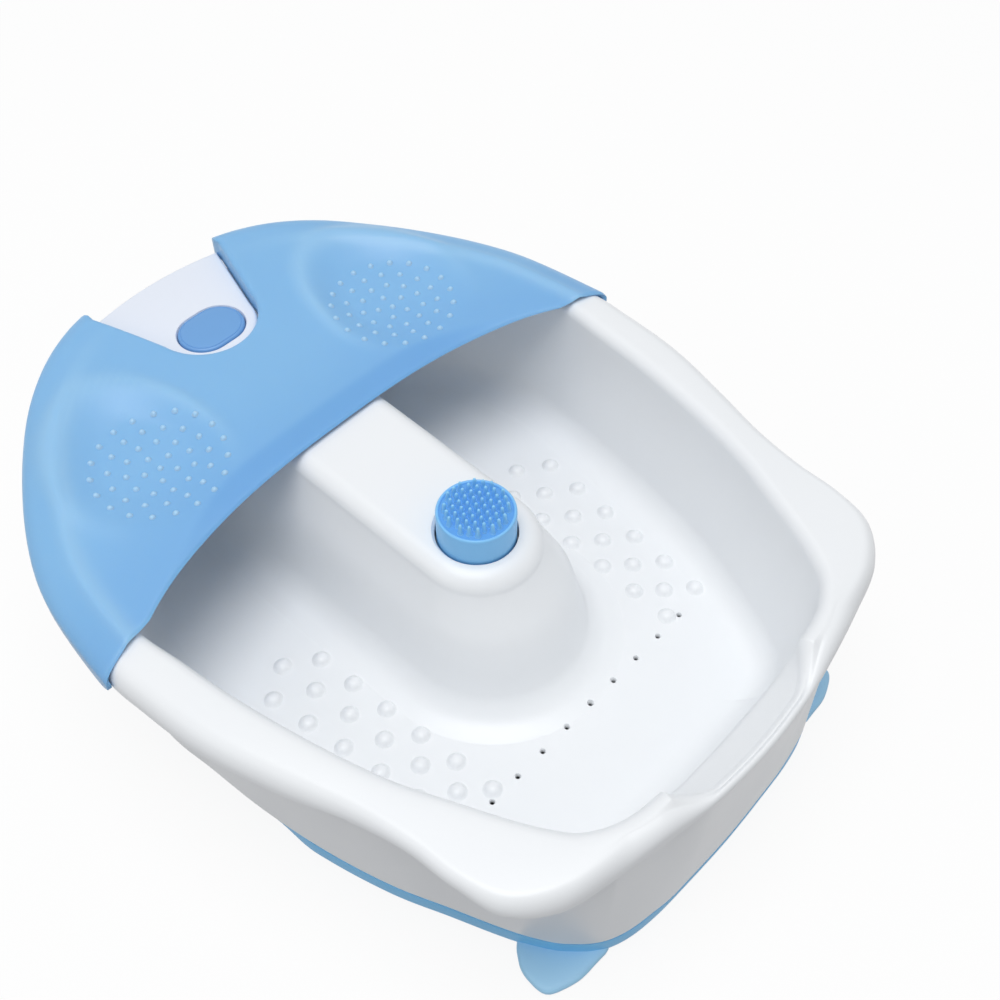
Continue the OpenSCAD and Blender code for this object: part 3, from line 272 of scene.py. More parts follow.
def tubProfile(spot, low):
    # ring by ring: distance outside the bowl edge, height, share of the rear rise, the same on the spout,
    # and how much the ring follows the crest there instead of the inner edge
    rows = []

    def row(d, z, rise, spoutD=None, spoutZ=None, crest=0.0):
        rows.append((d, z, rise, d if spoutD is None else spoutD, z if spoutZ is None else spoutZ, crest))

    top, floor, wall, draft = tub["rimH"], tub["floorH"], tub["wall"], tub["draft"]
    fr, fh = tub["floorRound"]
    waist = waistAt(*spot.bowl)
    rim, shoulder, skirt = spot.rim - tub["waistPull"] * waist, spot.shoulder, spot.skirt
    row(-draft - fr - 0.8, floor, 0)
    for a in arcPoints(9):
        row(-draft - fr * (1 - math.sin(a)), floor + fh * (1 - math.cos(a)), 0)
    row(-draft * 0.78, 62, 0)
    row(-draft * 0.5, 75, 0)
    row(-draft * 0.25, 88, 0.15, -2.0, 86)
    row(-0.9, 99, 0.55, -0.6, 92)
    row(-0.6, 102.5, 0.65, 1.2, 94.2)
    row(-0.4, 105, 0.75, blendOf(1.8, rim - 7.2, 0.12), 95.6)
    row(-0.3, 107, 0.8, blendOf(1.8, rim - 7.2, 0.55), 99.8)
    row(-0.1, 109, 0.9, rim - 7.2, 104.2)
    inner = tub["innerRoll"]
    for k, a in enumerate(arcPoints(8)):
        t = k / 8
        row(inner * (1 - math.cos(a)), top - inner + inner * math.sin(a), 1,
            blendOf(rim - 6.8, rim - 3.8, t), blendOf(104.7, 107.5, math.sin(a)))
    outer = min(tub["outerRoll"], rim - inner - 2.5) - tub["waistRoll"] * waist
    ledge = ((0.2, 3.4, 107.95, 0.1), (0.4, 3.0, 108.5, 0.4), (0.6, 2.65, 108.9, 0.75), (0.8, 2.4, 109.12, 1))
    for t, spoutD, spoutZ, crest in ledge:
        row(blendOf(inner, rim - outer, t), top - 0.5 * t * t, 1, rim - spoutD, spoutZ, crest)
    spoutRoll = tub["spoutRoll"]
    for a in arcPoints(10):
        row(rim - outer + outer * math.sin(a), top - 0.5 - outer * (1 - math.cos(a)), 1,
            rim - spoutRoll + spoutRoll * math.sin(a), tub["spoutTop"] - spoutRoll * 1.25 * (1 - math.cos(a)), 1)
    # the lip turns under and meets the skirt wall; on the spout both run straight down from the bead
    lip = tub["lipLow"]
    drawn = tub["waistTuck"] * waist
    for t in (0.35, 0.7, 0.9):
        row(rim - drawn * t ** 1.5, blendOf(top - 0.5 - outer, lip + 0.9, t), 1, rim, blendOf(106.45, 105.8, t), 1)
    gap = rim - drawn - 3 - shoulder
    turned = [(0, lip + 0.9), (0.45, lip + 0.25), (1.5, lip), (2.55, lip + 0.25), (3, lip + 0.9)]
    turned += [(3 + gap * share, z) for share, z in ((0, 110.6), (0.2, 112.4), (0.5, 113), (0.8, 112.4), (1, 110.6))]
    for k, (inset, z) in enumerate(turned):
        row(rim - drawn - inset, z, 1, rim - 0.12 * k, 105.8 - 0.68 * k, 1)
    for t in (0.0, 0.25, 0.5, 0.75):
        row(blendOf(shoulder, skirt, t), blendOf(104, low + 1.4, t), 1 - t,
            blendOf(rim - 1.2, skirt, t), blendOf(99, low + 1.4, t), 1)
    for inset, up in ((0, 1.4), (0.35, 0.45), (1.2, 0), (2.4, 0), (3, 0.6), (3, 3)):
        row(skirt - inset, low + up, 0)
    row(blendOf(shoulder, skirt, 0.5) - 3, 58, 0.5)
    row(shoulder - 3, 103, 1, rim - 4.2, 96, 1)
    row(shoulder - 3.4, 110.5, 1, rim - 4.6, 100.5, 1)
    row(shoulder - 5, 113.3, 1, rim - 6.2, 101.6, 1)
    row(max(3.4, shoulder - 8), 113.3, 1, 8.5, 96.6, 0.5)
    row(3, 108, 1, 3.6, 92.8)
    row(2.1, 99, 0.55, 2.4, 90.5)
    row(0.75, 88, 0.15, 1.2, 84)
    row(-draft * 0.5 + wall, 75, 0)
    row(-draft * 0.78 + wall, 62, 0)
    for a in reversed(arcPoints(6)):
        row(wall - draft - fr * (1 - math.sin(a)), floor - wall + fh * (1 - math.cos(a)), 0)
    row(-draft - fr - 0.8, floor - wall, 0)
    return rows


def tubRings():
    columns = []
    for spot in planSpots:
        inside, crestShare = spoutShares(*spot.at(spot.rim * 0.5))
        column = []
        for d, z, rise, spoutD, spoutZ, crest in tubProfile(spot, skirtLowAt(*spot.at(spot.skirt))):
            share = blendOf(inside, crestShare, crest)
            d, z = blendOf(d, spoutD, share), blendOf(z, spoutZ, share)
            x, y = spot.at(d)
            column.append((x, y, z + rise * riseAt(y)))
        columns.append(column)
    return [list(ring) for ring in zip(*columns)]


# arm: its flank by depth under the top, its foot by height, each with added half-width and nose
arm = {
    "top": 112, "tipY": -42, "halfW": 34, "slope": 0.05, "rearY": 186, "shoulder": (11, 10),
    "flank": [(18, 3.2, 3), (27, 7, 5.6), (36, 11, 8), (52, 14.5, 9.4), (64, 17, 10)],
    "flankFade": 78, "hollowFoot": (24, 17.6, 10),
    "foot": [(43, 20, 10.5), (38.6, 23.6, 11), (35.6, 29, 11), (34.2, 37, 11), (33, 42, 11)],
}


def armRing(radius, tip, heights, sides=48):
    # a round nose, two straight sides to the rear
    nose = arm["tipY"] - tip
    points = [(radius, blendOf(arm["rearY"], nose, k / 16)) for k in range(16)]
    turns = [math.radians(-180 * k / sides) for k in range(sides + 1)]
    points += [(radius * math.cos(a), nose + radius * math.sin(a)) for a in turns]
    points += [(-radius, blendOf(nose, arm["rearY"], k / 16)) for k in range(1, 17)]
    return [(x, y, heights(y)) for x, y in points]


def armSolid(name, grow):
    rings = []
    sx, sz = arm["shoulder"]
    tilt = lambda y: arm["slope"] * (y - arm["tipY"])
    for a in arcPoints(8):
        depth, add = sz * (1 - math.cos(a)), -sx + sx * math.sin(a)
        rings.append(armRing(arm["halfW"] + add + grow, 0.8 * depth / sz,
                             lambda y, d=depth: arm["top"] + grow - d + tilt(y)))
    for depth, add, tip in arm["flank"]:
        rings.append(armRing(arm["halfW"] + add + grow, tip,
                             lambda y, d=depth: arm["top"] + grow - d + tilt(y) * (1 - d / arm["flankFade"])))
    if grow < 0:
        z, add, tip = arm["hollowFoot"]
        rings.append(armRing(arm["halfW"] + add + grow, tip, lambda y: z))
    else:
        for z, add, tip in arm["foot"]:
            rings.append(armRing(arm["halfW"] + add, tip, lambda y, z=z: z))
    return loftRings(name, rings)


# the panel's outline also shapes the guard's notch and the tub's pocket
panel = {
    "low": 115, "thick": 5.5, "round": 30, "midY": 171, "rearW": 46, "bow": 5.5, "rearY": 222,
    "pocketGap": 3.5, "notchGap": 1.0, "edge": 2.2, "lipDrop": 8, "housingR": 25.3, "housingY": 165,
}


def panelOutline(grow, past=0.0, steps=32):
    r, w = panel["round"] + grow, panel["rearW"] + grow
    corner = panel["rearY"] - panel["bow"]
    points = [(r * math.cos(math.radians(a)), panel["midY"] + r * math.sin(math.radians(a)))
              for a in [-170 + 160 * k / steps for k in range(steps + 1)]]
    start = points[-1]
    side = [(blendOf(start[0], w, k / 14), blendOf(start[1], corner, k / 14)) for k in range(1, 14)]
    if past:
        rear = [(w, corner), (w, panel["rearY"] + past), (-w, panel["rearY"] + past), (-w, corner)]
    else:
        rear = [(w * t, panel["rearY"] + grow - panel["bow"] * t * t) for t in [1 - k / 16 for k in range(33)]]
    return points + side + rear + [(-x, y) for x, y in reversed(side)]


def prism(name, outline, low, high):
    return loftRings(name, [[(x, y, low) for x, y in outline], [(x, y, high) for x, y in outline]])


def oblong(half, front, rear):
    return [(-half, front), (half, front), (half, rear), (-half, rear)]


def makeTub():
    shell = loftRings("tubShell", tubRings())
    print("tub rings laid:", len(shell.data.polygons), "faces")
    combine(shell, armSolid("armOutside", 0), "UNION")
    combine(shell, armSolid("armInside", -3), "DIFFERENCE")
    # the panel's seat on the rear deck, and the closed shelf that the arm's top ends in
    for half, front, rear, top in ((32.5, 127.5, 178, 116), (28, 122, 129, 118.2)):
        combine(shell, prism("armShelfFloor", oblong(half, front, rear), 112.2, top), "UNION")
    deck = prism("panelDeck", panelOutline(6.5), panel["low"] - 3, 121)
    trim = prism("deckTrim", [s.at(s.shoulder - 1) for s in planSpots], 100, 130)
    combine(deck, trim, "INTERSECT")
    combine(shell, deck, "UNION")
    combine(shell, prism("panelPocket", panelOutline(panel["pocketGap"], 25), panel["low"], 150), "DIFFERENCE")
    combine(shell, prism("armShelf", oblong(46, 128, 176), panel["low"], 150), "DIFFERENCE")
    wide = panel["rearW"] + panel["pocketGap"]
    rearEdge = [s.at(s.shoulder + 0.3) for s in planSpots if s.bowl[1] > 150]
    behind = [p for p in rearEdge if abs(p[0]) < wide - 4]
    behind += [(-wide + 0.1, 216), (-wide + 0.1, 247), (wide - 0.1, 247), (wide - 0.1, 216)]
    combine(shell, prism("rearGap", behind, 94, 117.6), "DIFFERENCE")
    # holes for the brush socket, the switch housing, the cord gland and the air
    socket = [(23.15, 80), (23.15, 110.55), (21.6, 110.6), (21.6, 111.2), (22.3, 111.9), (23, 112.6), (24, 130)]
    combine(shell, turnedPiece("socketHole", socket, 96, (0, arm["tipY"])), "DIFFERENCE")
    housing = [(panel["housingR"], z) for z in (100, 130)]
    combine(shell, turnedPiece("housingHole", housing, 64, (0, panel["housingY"])), "DIFFERENCE")
    gland = turnedPiece("glandHole", [(6.8, 180), (6.8, 240)], 40)
    activate(gland)
    bpy.ops.object.mode_set(mode="EDIT")
    bpy.ops.mesh.select_all(action="SELECT")
    for v in bmesh.from_edit_mesh(gland.data).verts:
        v.co = Vector((v.co.x, v.co.z, tub["glandZ"] * mm + v.co.y))
    bpy.ops.mesh.normals_make_consistent(inside=False)
    bpy.ops.object.mode_set(mode="OBJECT")
    combine(shell, gland, "DIFFERENCE")
    manifold, count = planAt(tub["airAt"]), tub["airHoles"]
    reach = manifold[0] - tub["floorInset"] - tub["airInset"]
    holes = [turnedPiece("airHole%d" % k, [(1.2, 20), (1.2, 33.2), (1.9, 34.3), (1.9, 40)], 16,
                         (blendOf(-reach, reach, k / (count - 1)), manifold[1])) for k in range(count)]
    joinAll(holes[0], holes[1:])
    combine(shell, holes[0], "DIFFERENCE")
    print("tub cut:", len(shell.data.polygons), "faces")
    return shell


nodeField = {"midX": 94, "gapX": 13, "widen": 0.8, "lean": 2, "frontY": -118, "gapY": 24, "rows": 6}


def floorNodes():
    # soft round massage nodes, modelled once and copied over both foot places
    profile = [(5.6, -0.4), (5.2, 0.05), (4.5, 0.5), (4.0, 1.2), (3.5, 2.0), (2.7, 2.75), (1.5, 3.15), (0.5, 3.25)]
    first = turnedPiece("floorNode", [(r, tub["floorH"] + z) for r, z in profile], 20)
    copies, f = [], nodeField
    for side in (-1, 1):
        for rowIndex in range(f["rows"]):
            lean = (f["rows"] - 1 - rowIndex) * f["lean"]
            for k in (-1, 0, 1):
                x = side * (f["midX"] + k * (f["gapX"] + rowIndex * f["widen"]) - lean)
                y = f["frontY"] + rowIndex * f["gapY"] + (f["gapY"] / 2 if k == 0 else 0)
                copies.append(copyAt(first, (x, y, 0)))
    bpy.data.objects.remove(first)
    return copies


def postPlaces():
    # the base screws' posts stand inside the floor's edge
    return [PlanSpot(planAt(t)).at(-tub["floorInset"] - tub["postInset"]) for t in tub["postsAt"]]


def screwPosts():
    profile = [(1.5, 20), (1.5, 6.1), (4.2, 6.1), (4.5, 6.5), (4.6, 30), (6.4, 31.4), (1.5, 31.6)]
    return [turnedPiece("post", profile, 20, (side * x, y)) for x, y in postPlaces() for side in (-1, 1)]


tubPiece = makeTub()
joinAll(tubPiece, floorNodes() + screwPosts())
tubPiece.name = "tubShell"
smoothShade(tubPiece, 38)
flatter = tubPiece.modifiers.new("flatter", "WEIGHTED_NORMAL")
flatter.keep_sharp = True
bpy.ops.object.modifier_apply(modifier="flatter")
settle(tubPiece, "tub", ["basin"])
print("tub done:", len(tubPiece.data.polygons), "faces")


# splash guard: a crescent sheet laid out on strips from the front lip to the rim or to the panel's notch
guard = {
    "top": 121, "climb": 3, "climbStart": 90, "climbRun": 110, "thick": 2.4, "skirt": 15,
    "lipX": 148, "lipEndY": 30, "arch": 27, "lipDrop": 2, "overArm": (0.8, 75), "lipZone": 16,
    "roll": 18, "rollFall": 9.8, "rearRoll": 9, "rearFall": 4.6, "fold": 0.25, "foldRidge": 1.2,
    "notchRound": 3.2, "notchLow": 116.2, "out": 3, "hornAt": 11.76, "lipCorner": 0.5, "cornerBack": 0.83,
    "beadFall": 1.1, "beadReach": 2.4, "hornDrop": 3, "hornLift": 4, "edgeBevel": 0.22,
    "rest": (84.5, 106), "restIn": 38, "restOut": 50, "restFront": 46, "restRear": 64, "restDepth": 6, "ridge": 1.7,
    "bumpAt": (84.5, 104), "bumpRings": (1, 5, 11, 15, 19), "bumpStep": 8.9, "bumpTurn": 12,
    "bumpH": 1.4, "bumpR": 1.65,
}


def restSpot(x, y):
    # how far out in the rest, 1 on its edge, and how far towards its rear
    rx, ry = guard["rest"]
    across = guard["restIn"] if abs(x) < rx else guard["restOut"]
    along = guard["restRear"] if y > ry else guard["restFront"]
    return math.hypot((abs(x) - rx) / across, (y - ry) / along), smoothStep((y - ry + 40) / 70)


def restCrest(x, y):
    d, lean = restSpot(x, y)
    return lean * math.exp(-((d - 1.0) / 0.11) ** 2)


def restShape(x, y):
    # the rear of the rest has a firmer edge than its front
    d, lean = restSpot(x, y)
    soft = (1 - d * d) ** 2 if d < 1 else 0.0
    firm = 1 - smoothStep((d - 0.5) / 0.42)
    return guard["ridge"] * restCrest(x, y) - guard["restDepth"] * blendOf(soft, 0.85 * firm, lean)


def guardHeight(x, y):
    climb = guard["climb"] * smoothStep((y - guard["climbStart"]) / guard["climbRun"])
    return guard["top"] + riseAt(y) + climb + restShape(x, y)


def lipFall(x):
    share, width = guard["overArm"]
    nearRim = smoothStep((abs(x) - guard["lipX"] + 60) / 55)
    return guard["lipDrop"] * (1 - share * math.exp(-(x / width) ** 2)) * (1 - nearRim)


def lipWidth(x):
    # the strip along the lip runs out towards the horns
    return guard["lipZone"] * (1 - 0.9 * smoothStep((abs(x) - 55) / 85))


def lipLine(u):
    return (u * guard["lipX"], guard["lipEndY"] + guard["arch"] * (1 - abs(u) ** 3))


def outerEdge(t):
    spot = PlanSpot(planAt(t))
    return spot.at(spot.rim + guard["out"])


def notchEdge():
    # from the middle of the notch's front to its rear corner on the right
    grow = panel["notchGap"]
    r = panel["round"] + grow
    points = [(r * math.sin(math.radians(a)), panel["midY"] - r * math.cos(math.radians(a))) for a in range(0, 81, 4)]
    start, corner = points[-1], (panel["rearW"] + grow, panel["rearY"] - panel["bow"])
    points += [(blendOf(start[0], corner[0], k / 12), blendOf(start[1], corner[1], k / 12)) for k in range(1, 12)]
    return points


def spreadAlong(points, count):
    lengths = [0.0]
    for a, b in zip(points, points[1:]):
        lengths.append(lengths[-1] + math.dist(a, b))
    out = []
    for k in range(count):
        want = lengths[-1] * k / (count - 1)
        i = next(j for j in range(len(lengths) - 1) if lengths[j + 1] >= want - 1e-9)
        f = (want - lengths[i]) / (lengths[i + 1] - lengths[i])
        out.append((blendOf(points[i][0], points[i + 1][0], f), blendOf(points[i][1], points[i + 1][1], f)))
    return out


def guardColumns():
    # right half: lip share, end point, and what the end is
    notch = spreadAlong(notchEdge(), 44)
    cornerT = lastStation - guard["cornerBack"]
    columns = []
    for k, point in enumerate(notch):
        columns.append((guard["lipCorner"] * k / (len(notch) + 3), point, "notch"))
    last, first = notch[-1], outerEdge(cornerT)
    for k in range(1, 4):
        t = k / 4
        bulge = math.sin(math.pi * t) * 0.5
        columns.append((guard["lipCorner"] * (len(notch) + k) / (len(notch) + 4),
                        (blendOf(last[0], first[0], t) - bulge, blendOf(last[1], first[1], t) + bulge), "notch"))
    for t in [k / 66 for k in range(65)] + [0.979, 0.987, 0.993, 0.997, 1.0]:
        columns.append((blendOf(guard["lipCorner"], 1.0, t), outerEdge(blendOf(cornerT, guard["hornAt"], t)), "rim"))
    return columns


def distanceTo(points, line):
    points, line = np.array(points, float), np.array(line, float)
    a, b = line[:-1], line[1:]
    best = np.full(len(points), 1e9)
    for p, q in zip(a, b):
        d = q - p
        t = np.clip(((points - p) @ d) / max(1e-12, d @ d), 0, 1)
        best = np.minimum(best, np.linalg.norm(points - (p + t[:, None] * d), axis=1))
    return best


def roundFall(distance, reach, fall, fold=0.0):
    t = max(0.0, min(1.0, 1 - distance / reach))
    return fall * (fold * t + (1 - fold) * (1 - math.sqrt(max(0.0, 1 - t * t))))


def makeGuard():
    half = guardColumns()
    columns = [(-u, (-p[0], p[1]), kind) for u, p, kind in reversed(half[1:])] + half
    lipRows = [0, 0.5, 1.0, 1.6, 2.4, 3.8, 5.8, 8, 10.5, 12.8, 14.6, 16, 17.4, 19.2, 21.5]
    endRows = [14, 12, 10, 8.2, 6.6, 5.2, 4, 3, 2.2, 1.5, 0.9, 0.45, 0.15, 0]
    middle, skirtRows = 24, 5
    across = len(lipRows) + middle + len(endRows) + skirtRows
    flat = []
    for u, end, kind in columns:
        start = lipLine(u)
        run = math.dist(start, end)
        lipSpan, endSpan = min(lipRows[-1], 0.34 * run), min(endRows[0], 0.42 * run)
        steps = [r / lipRows[-1] * lipSpan for r in lipRows]
        steps += [blendOf(lipSpan, run - endSpan, (k + 1) / (middle + 1)) for k in range(middle)]
        steps += [run - r / endRows[0] * endSpan for r in endRows]
        steps += [run] * skirtRows
        for s in steps:
            flat.append((blendOf(start[0], end[0], s / run), blendOf(start[1], end[1], s / run)))
    rightRim = [outerEdge(blendOf(lastStation, guard["hornAt"], k / 120)) for k in range(121)]
    rightNotch = notchEdge()
    rimLine = [(-x, y) for x, y in reversed(rightRim[1:])] + rightRim
    notchLine = [(-x, y) for x, y in reversed(rightNotch[1:])] + rightNotch
    lipPoints = [lipLine(k / 80) for k in range(-80, 81)]
    toRim, toNotch, toLip = distanceTo(flat, rimLine), distanceTo(flat, notchLine), distanceTo(flat, lipPoints)
    toFront = np.minimum(toLip, distanceTo(flat, [lipPoints[-1], rightRim[-1]]))
    toFront = np.minimum(toFront, distanceTo(flat, [lipPoints[0], rimLine[0]]))
    deselectAll()
    bpy.ops.mesh.primitive_grid_add(x_subdivisions=len(columns) - 1, y_subdivisions=across - 1, size=0.2)
    piece = bpy.context.object
    piece.name = "splashGuard"
    piece.data.name = "splashGuard"
    # painted shade: the strip along the lip and the front of the guard are tinted darker through this attribute
    lipTone = piece.data.attributes.new("lipTone", "FLOAT", "POINT")
    # painted highlight: the rest crests and the fold are tinted lighter through this attribute
    crestTone = piece.data.attributes.new("crestTone", "FLOAT", "POINT")
    for i, vertex in enumerate(piece.data.vertices):
        column = round((vertex.co.x + 0.1) / 0.2 * (len(columns) - 1))
        k = round((vertex.co.y + 0.1) / 0.2 * (across - 1))
        n = column * across + k
        u, _, kind = columns[column]
        x, y = flat[n]
        strip = lipWidth(x)
        fall = lipFall(x) * max(0.0, 1 - toLip[n] / strip)
        bead = guard["beadFall"] * max(0.0, 1 - toFront[n] / guard["beadReach"]) ** 2
        rear = smoothStep((y - 160) / 50)
        z = guardHeight(x, y) - fall - bead
        reach = blendOf(guard["roll"], guard["rearRoll"], rear)
        z -= roundFall(toRim[n], reach, blendOf(guard["rollFall"], guard["rearFall"], rear), guard["fold"])
        z += guard["foldRidge"] * (1 - rear) * math.exp(-((toRim[n] - guard["roll"] - 1.5) / 4.5) ** 2)
        z -= roundFall(toNotch[n], guard["notchRound"], guard["notchRound"] * 0.8)
        if k >= across - skirtRows:
            low = guard["notchLow"]
            if kind == "rim":
                low = guardHeight(x, y) - guard["skirt"] - guard["hornDrop"] * smoothStep((70 - y) / 50)
            low += guard["hornLift"] * max(0.0, (abs(u) - 0.965) / 0.035) ** 2
            z = blendOf(z, low, (k - (across - skirtRows) + 1) / skirtRows)
        vertex.co = Vector((x, y, z)) * mm
        # painted shade: darker along the lip strip and towards the guard's front edge
        lipStripShade = smoothStep((strip + 3 - toLip[n]) / 6) * (1 - smoothStep((abs(x) - 70) / 60))
        lipTone.data[i].value = 0.55 * lipStripShade + 0.45 * smoothStep((60 - toFront[n]) / 55)
        # painted highlight: lighter along the fold inside the rolled edge and along the rest crests
        foldHighlight = (1 - rear) * math.exp(-((toRim[n] - guard["roll"] - 3) / 5) ** 2)
        crestTone.data[i].value = min(1.0, restCrest(x, y) + foldHighlight)
    activate(piece)
    bpy.ops.object.mode_set(mode="EDIT")
    bpy.ops.mesh.select_all(action="SELECT")
    bpy.ops.mesh.normals_make_consistent(inside=False)
    bpy.ops.object.mode_set(mode="OBJECT")
    middleFace = min(piece.data.polygons, key=lambda f: (f.center - Vector((0, 0.1, 0.13))).length)
    if middleFace.normal.z < 0:
        bpy.ops.object.mode_set(mode="EDIT")
        bpy.ops.mesh.flip_normals()
        bpy.ops.object.mode_set(mode="OBJECT")
    wall = piece.modifiers.new("wall", "SOLIDIFY")
    wall.thickness = guard["thick"] * mm
    wall.offset = -1
    wall.use_quality_normals = True
    bpy.ops.object.modifier_apply(modifier="wall")
    edge = piece.modifiers.new("edge", "BEVEL")
    edge.width = guard["edgeBevel"] * mm
    edge.segments = 2
    edge.limit_method = "ANGLE"
    edge.angle_limit = math.radians(60)
    bpy.ops.object.modifier_apply(modifier="edge")
    return piece


def guardBumps():
    # one round bump, copied in oval rings over each foot rest
    r, h = guard["bumpR"], guard["bumpH"]
    profile = [(r + 0.5, -0.5), (r + 0.15, 0), (r * 0.9, 0.35 * h), (r * 0.72, 0.68 * h),
               (r * 0.42, 0.92 * h), (r * 0.12, h)]
    first = turnedPiece("restBump", profile, 14)
    copies = []
    sx, sy = guard["bumpAt"]
    for side in (-1, 1):
        for ringIndex, count in enumerate(guard["bumpRings"]):
            for k in range(count):
                a = math.radians(360 * k / count + guard["bumpTurn"] * ringIndex)
                x = side * (sx + ringIndex * guard["bumpStep"] * math.cos(a))
                y = sy + ringIndex * guard["bumpStep"] * math.sin(a)
                copies.append(copyAt(first, (x, y, guardHeight(x, y))))
    bpy.data.objects.remove(first)
    joinAll(copies[0], copies[1:])
    copies[0].name = "restBumps"
    return copies[0]


guardPiece = makeGuard()
smoothShade(guardPiece, 50)
settle(guardPiece, "guard", ["splash_guard"])
bumpPiece = guardBumps()
smoothShade(bumpPiece, 60)
settle(bumpPiece, "guard", [])
print("guard done:", len(guardPiece.data.polygons), "faces")


# base: coloured band and pan with feet, vents and screw holes
base = {
    "gap": 0.35, "vents": 7, "ventSize": (3, 34), "ventPitch": 7, "ventY": 20,
    "footR": 18, "padR": 13.2, "tuckIn": 3.2,
    # the front feet's outline round their pads: turn, reach
    "footEdge": [(-158, 24), (-146, 28.5), (-135.5, 29.5), (-128.5, 25.5), (-115, 21.8), (-99.5, 20), (-77.6, 18.8),
                 (-61, 18.8), (-35, 20.8), (-8, 17.8), (36, 16), (69, 17), (93, 22), (123, 22), (162, 21)],
}


def bandTuck(y):
    # the band draws in under the wall towards the rear
    return base["tuckIn"] * smoothStep((y + 65) / 30)


def makeBase():
    rings = []
    # inset, height, and whether the height counts down from the band's top
    shape = [(-34, 3, 0), (-2.4, 3, 0), (-0.8, 3.25, 0), (-0.1, 4, 0), (0, 1, 1), (-0.25, 0.25, 1), (-0.9, 0, 1),
             (-3.3, 0, 1), (-3.3, 21, 0), (-3.8, 21.8, 0), (-4.8, 21.8, 0), (-5.3, 21, 0), (-5.3, 7.4, 0),
             (-6.6, 6, 0), (-34, 6, 0)]
    for inset, z, fromTop in shape:
        ring = []
        for spot in planSpots:
            x, y = spot.at(spot.skirt + inset - bandTuck(spot.bowl[1]))
            top = skirtLowAt(*spot.at(spot.skirt)) - base["gap"]
            ring.append((x, y, top - z if fromTop else z))
        rings.append(ring)
    piece = loftRings("baseBand", rings)
    cutters = []
    w, l = base["ventSize"]
    turns = [math.radians(a) for a in range(11, 371, 22)]
    for k in range(base["vents"]):
        x = (k - (base["vents"] - 1) / 2) * base["ventPitch"]
        outline = []
        for a in turns:
            half = math.copysign((l - w) / 2, math.sin(a))
            outline.append((x + w / 2 * math.cos(a), base["ventY"] + half + w / 2 * math.sin(a)))
        cutters.append(prism("vent%d" % k, outline, 1, 9))
    posts = postPlaces() + [PlanSpot(planAt(16)).at(12.5)]
    for x, y in posts:
        for side in (-1, 1):
            cutters.append(turnedPiece("screwHole", [(3.8, 0), (3.8, 4.4), (2, 4.5), (2, 9)], 24, (side * x, y)))
    joinAll(cutters[0], cutters[1:])
    combine(piece, cutters[0], "DIFFERENCE")
    return piece


def footReach(degrees):
    # the outline, softened over a few degrees
    turns, reach = zip(*base["footEdge"])
    return float(np.mean(np.interp([degrees + d for d in range(-6, 7, 2)], turns, reach, period=360)))


def makeFeet():
    # flat tongues at the front corners, low round feet at the rear
    spots = [PlanSpot(planAt(4.5)), PlanSpot(planAt(14))]
    places = [spots[0].at(spots[0].skirt), spots[1].at(spots[1].skirt - 20)]
    pad = base["padR"]
    seat = [(1, 2.3), (pad, 2.3), (pad, 1.5), (pad + 0.3, 1.2)]
    tongue = [(-1.6, 1.2), (-0.5, 1.6), (0, 2.6), (0, 3.5), (-0.4, 4.3), (-1.3, 4.9), (-3.5, 5.3), (-12, 5.6)]
    dome = [(-1.6, 1.2), (-0.6, 1.5), (-0.1, 2.3), (0, 3.4), (-0.15, 5.2), (-0.8, 7.2), (-2, 8.8), (-3.8, 10),
            (-6.6, 10.8), (-17, 11.1)]
    feet = []
    for front, (x, y) in zip((True, False), places):
        for side in (-1, 1):
            rings = [[(side * px, py, pz) for px, py, pz in circleRing(radius, z, 72, (x, y))] for radius, z in seat]
            for add, z in tongue if front else dome:
                ring = []
                for degrees in range(0, 360, 5):
                    a = math.radians(degrees)
                    reach = (footReach(degrees) if front else base["footR"]) + add
                    ring.append((side * (x + reach * math.cos(a)), y + reach * math.sin(a), z))
                rings.append(ring)
            feet.append(loftRings("foot", rings))
    joinAll(feet[0], feet[1:])
    feet[0].name = "baseFeet"
    return feet[0]


basePiece = makeBase()
smoothShade(basePiece, 34)
settle(basePiece, "tub", ["base_pan"])
feetPiece = makeFeet()
smoothShade(feetPiece, 40)
settle(feetPiece, "tub", [])
print("base done:", len(basePiece.data.polygons), "faces")


# control panel, toe button and its spring
button = {
    "centreY": panel["housingY"], "size": (40, 31), "gap": 0.6, "proud": 1.5,
    "springLow": 94.45, "springHigh": 114.85, "springR": 7, "wire": 0.6, "turns": 5,
}


def ovalRing(w, l, z, steps=24):
    r, half = l / 2, (w - l) / 2
    turns = [math.radians(-90 + 180 * k / steps) for k in range(steps + 1)]
    right = [(half + r * math.cos(a), r * math.sin(a)) for a in turns]
    return [(x, button["centreY"] + y, z) for x, y in right + [(-x, -y) for x, y in right]]


def makePanel():
    low, top, e = panel["low"], panel["low"] + panel["thick"], panel["edge"]
    rings = [(0, low), (0, low + 1.5)]
    rings += [(-e * (1 - math.cos(a)), top - e + e * math.sin(a)) for a in arcPoints(6)]
    piece = loftRings("controlPanel", [[(x, y, z) for x, y in panelOutline(inset)] for inset, z in rings])
    steps = [k / 12 for k in range(-12, 13)]
    rear = lambda t, back: (t * (panel["rearW"] - 0.2), panel["rearY"] - back - panel["bow"] * t * t)
    rearEdge = [rear(t, 0.2) for t in steps] + [rear(-t, 3) for t in steps]
    lip = prism("rearLip", rearEdge, low - panel["lipDrop"], low + 1)
    combine(piece, lip, "UNION")
    w, l = (size + 2 * button["gap"] for size in button["size"])
    levels = [(0, low - 2), (0, top - 0.7), (1.0, top - 0.05), (1.4, top + 3)]
    combine(piece, loftRings("buttonHole", [ovalRing(w + add, l + add, z) for add, z in levels]), "DIFFERENCE")
    seat = [(panel["housingR"], low - 4), (panel["housingR"], low + 1.5)]
    combine(piece, turnedPiece("housingSeat", seat, 64, (0, button["centreY"])), "DIFFERENCE")
    return piece


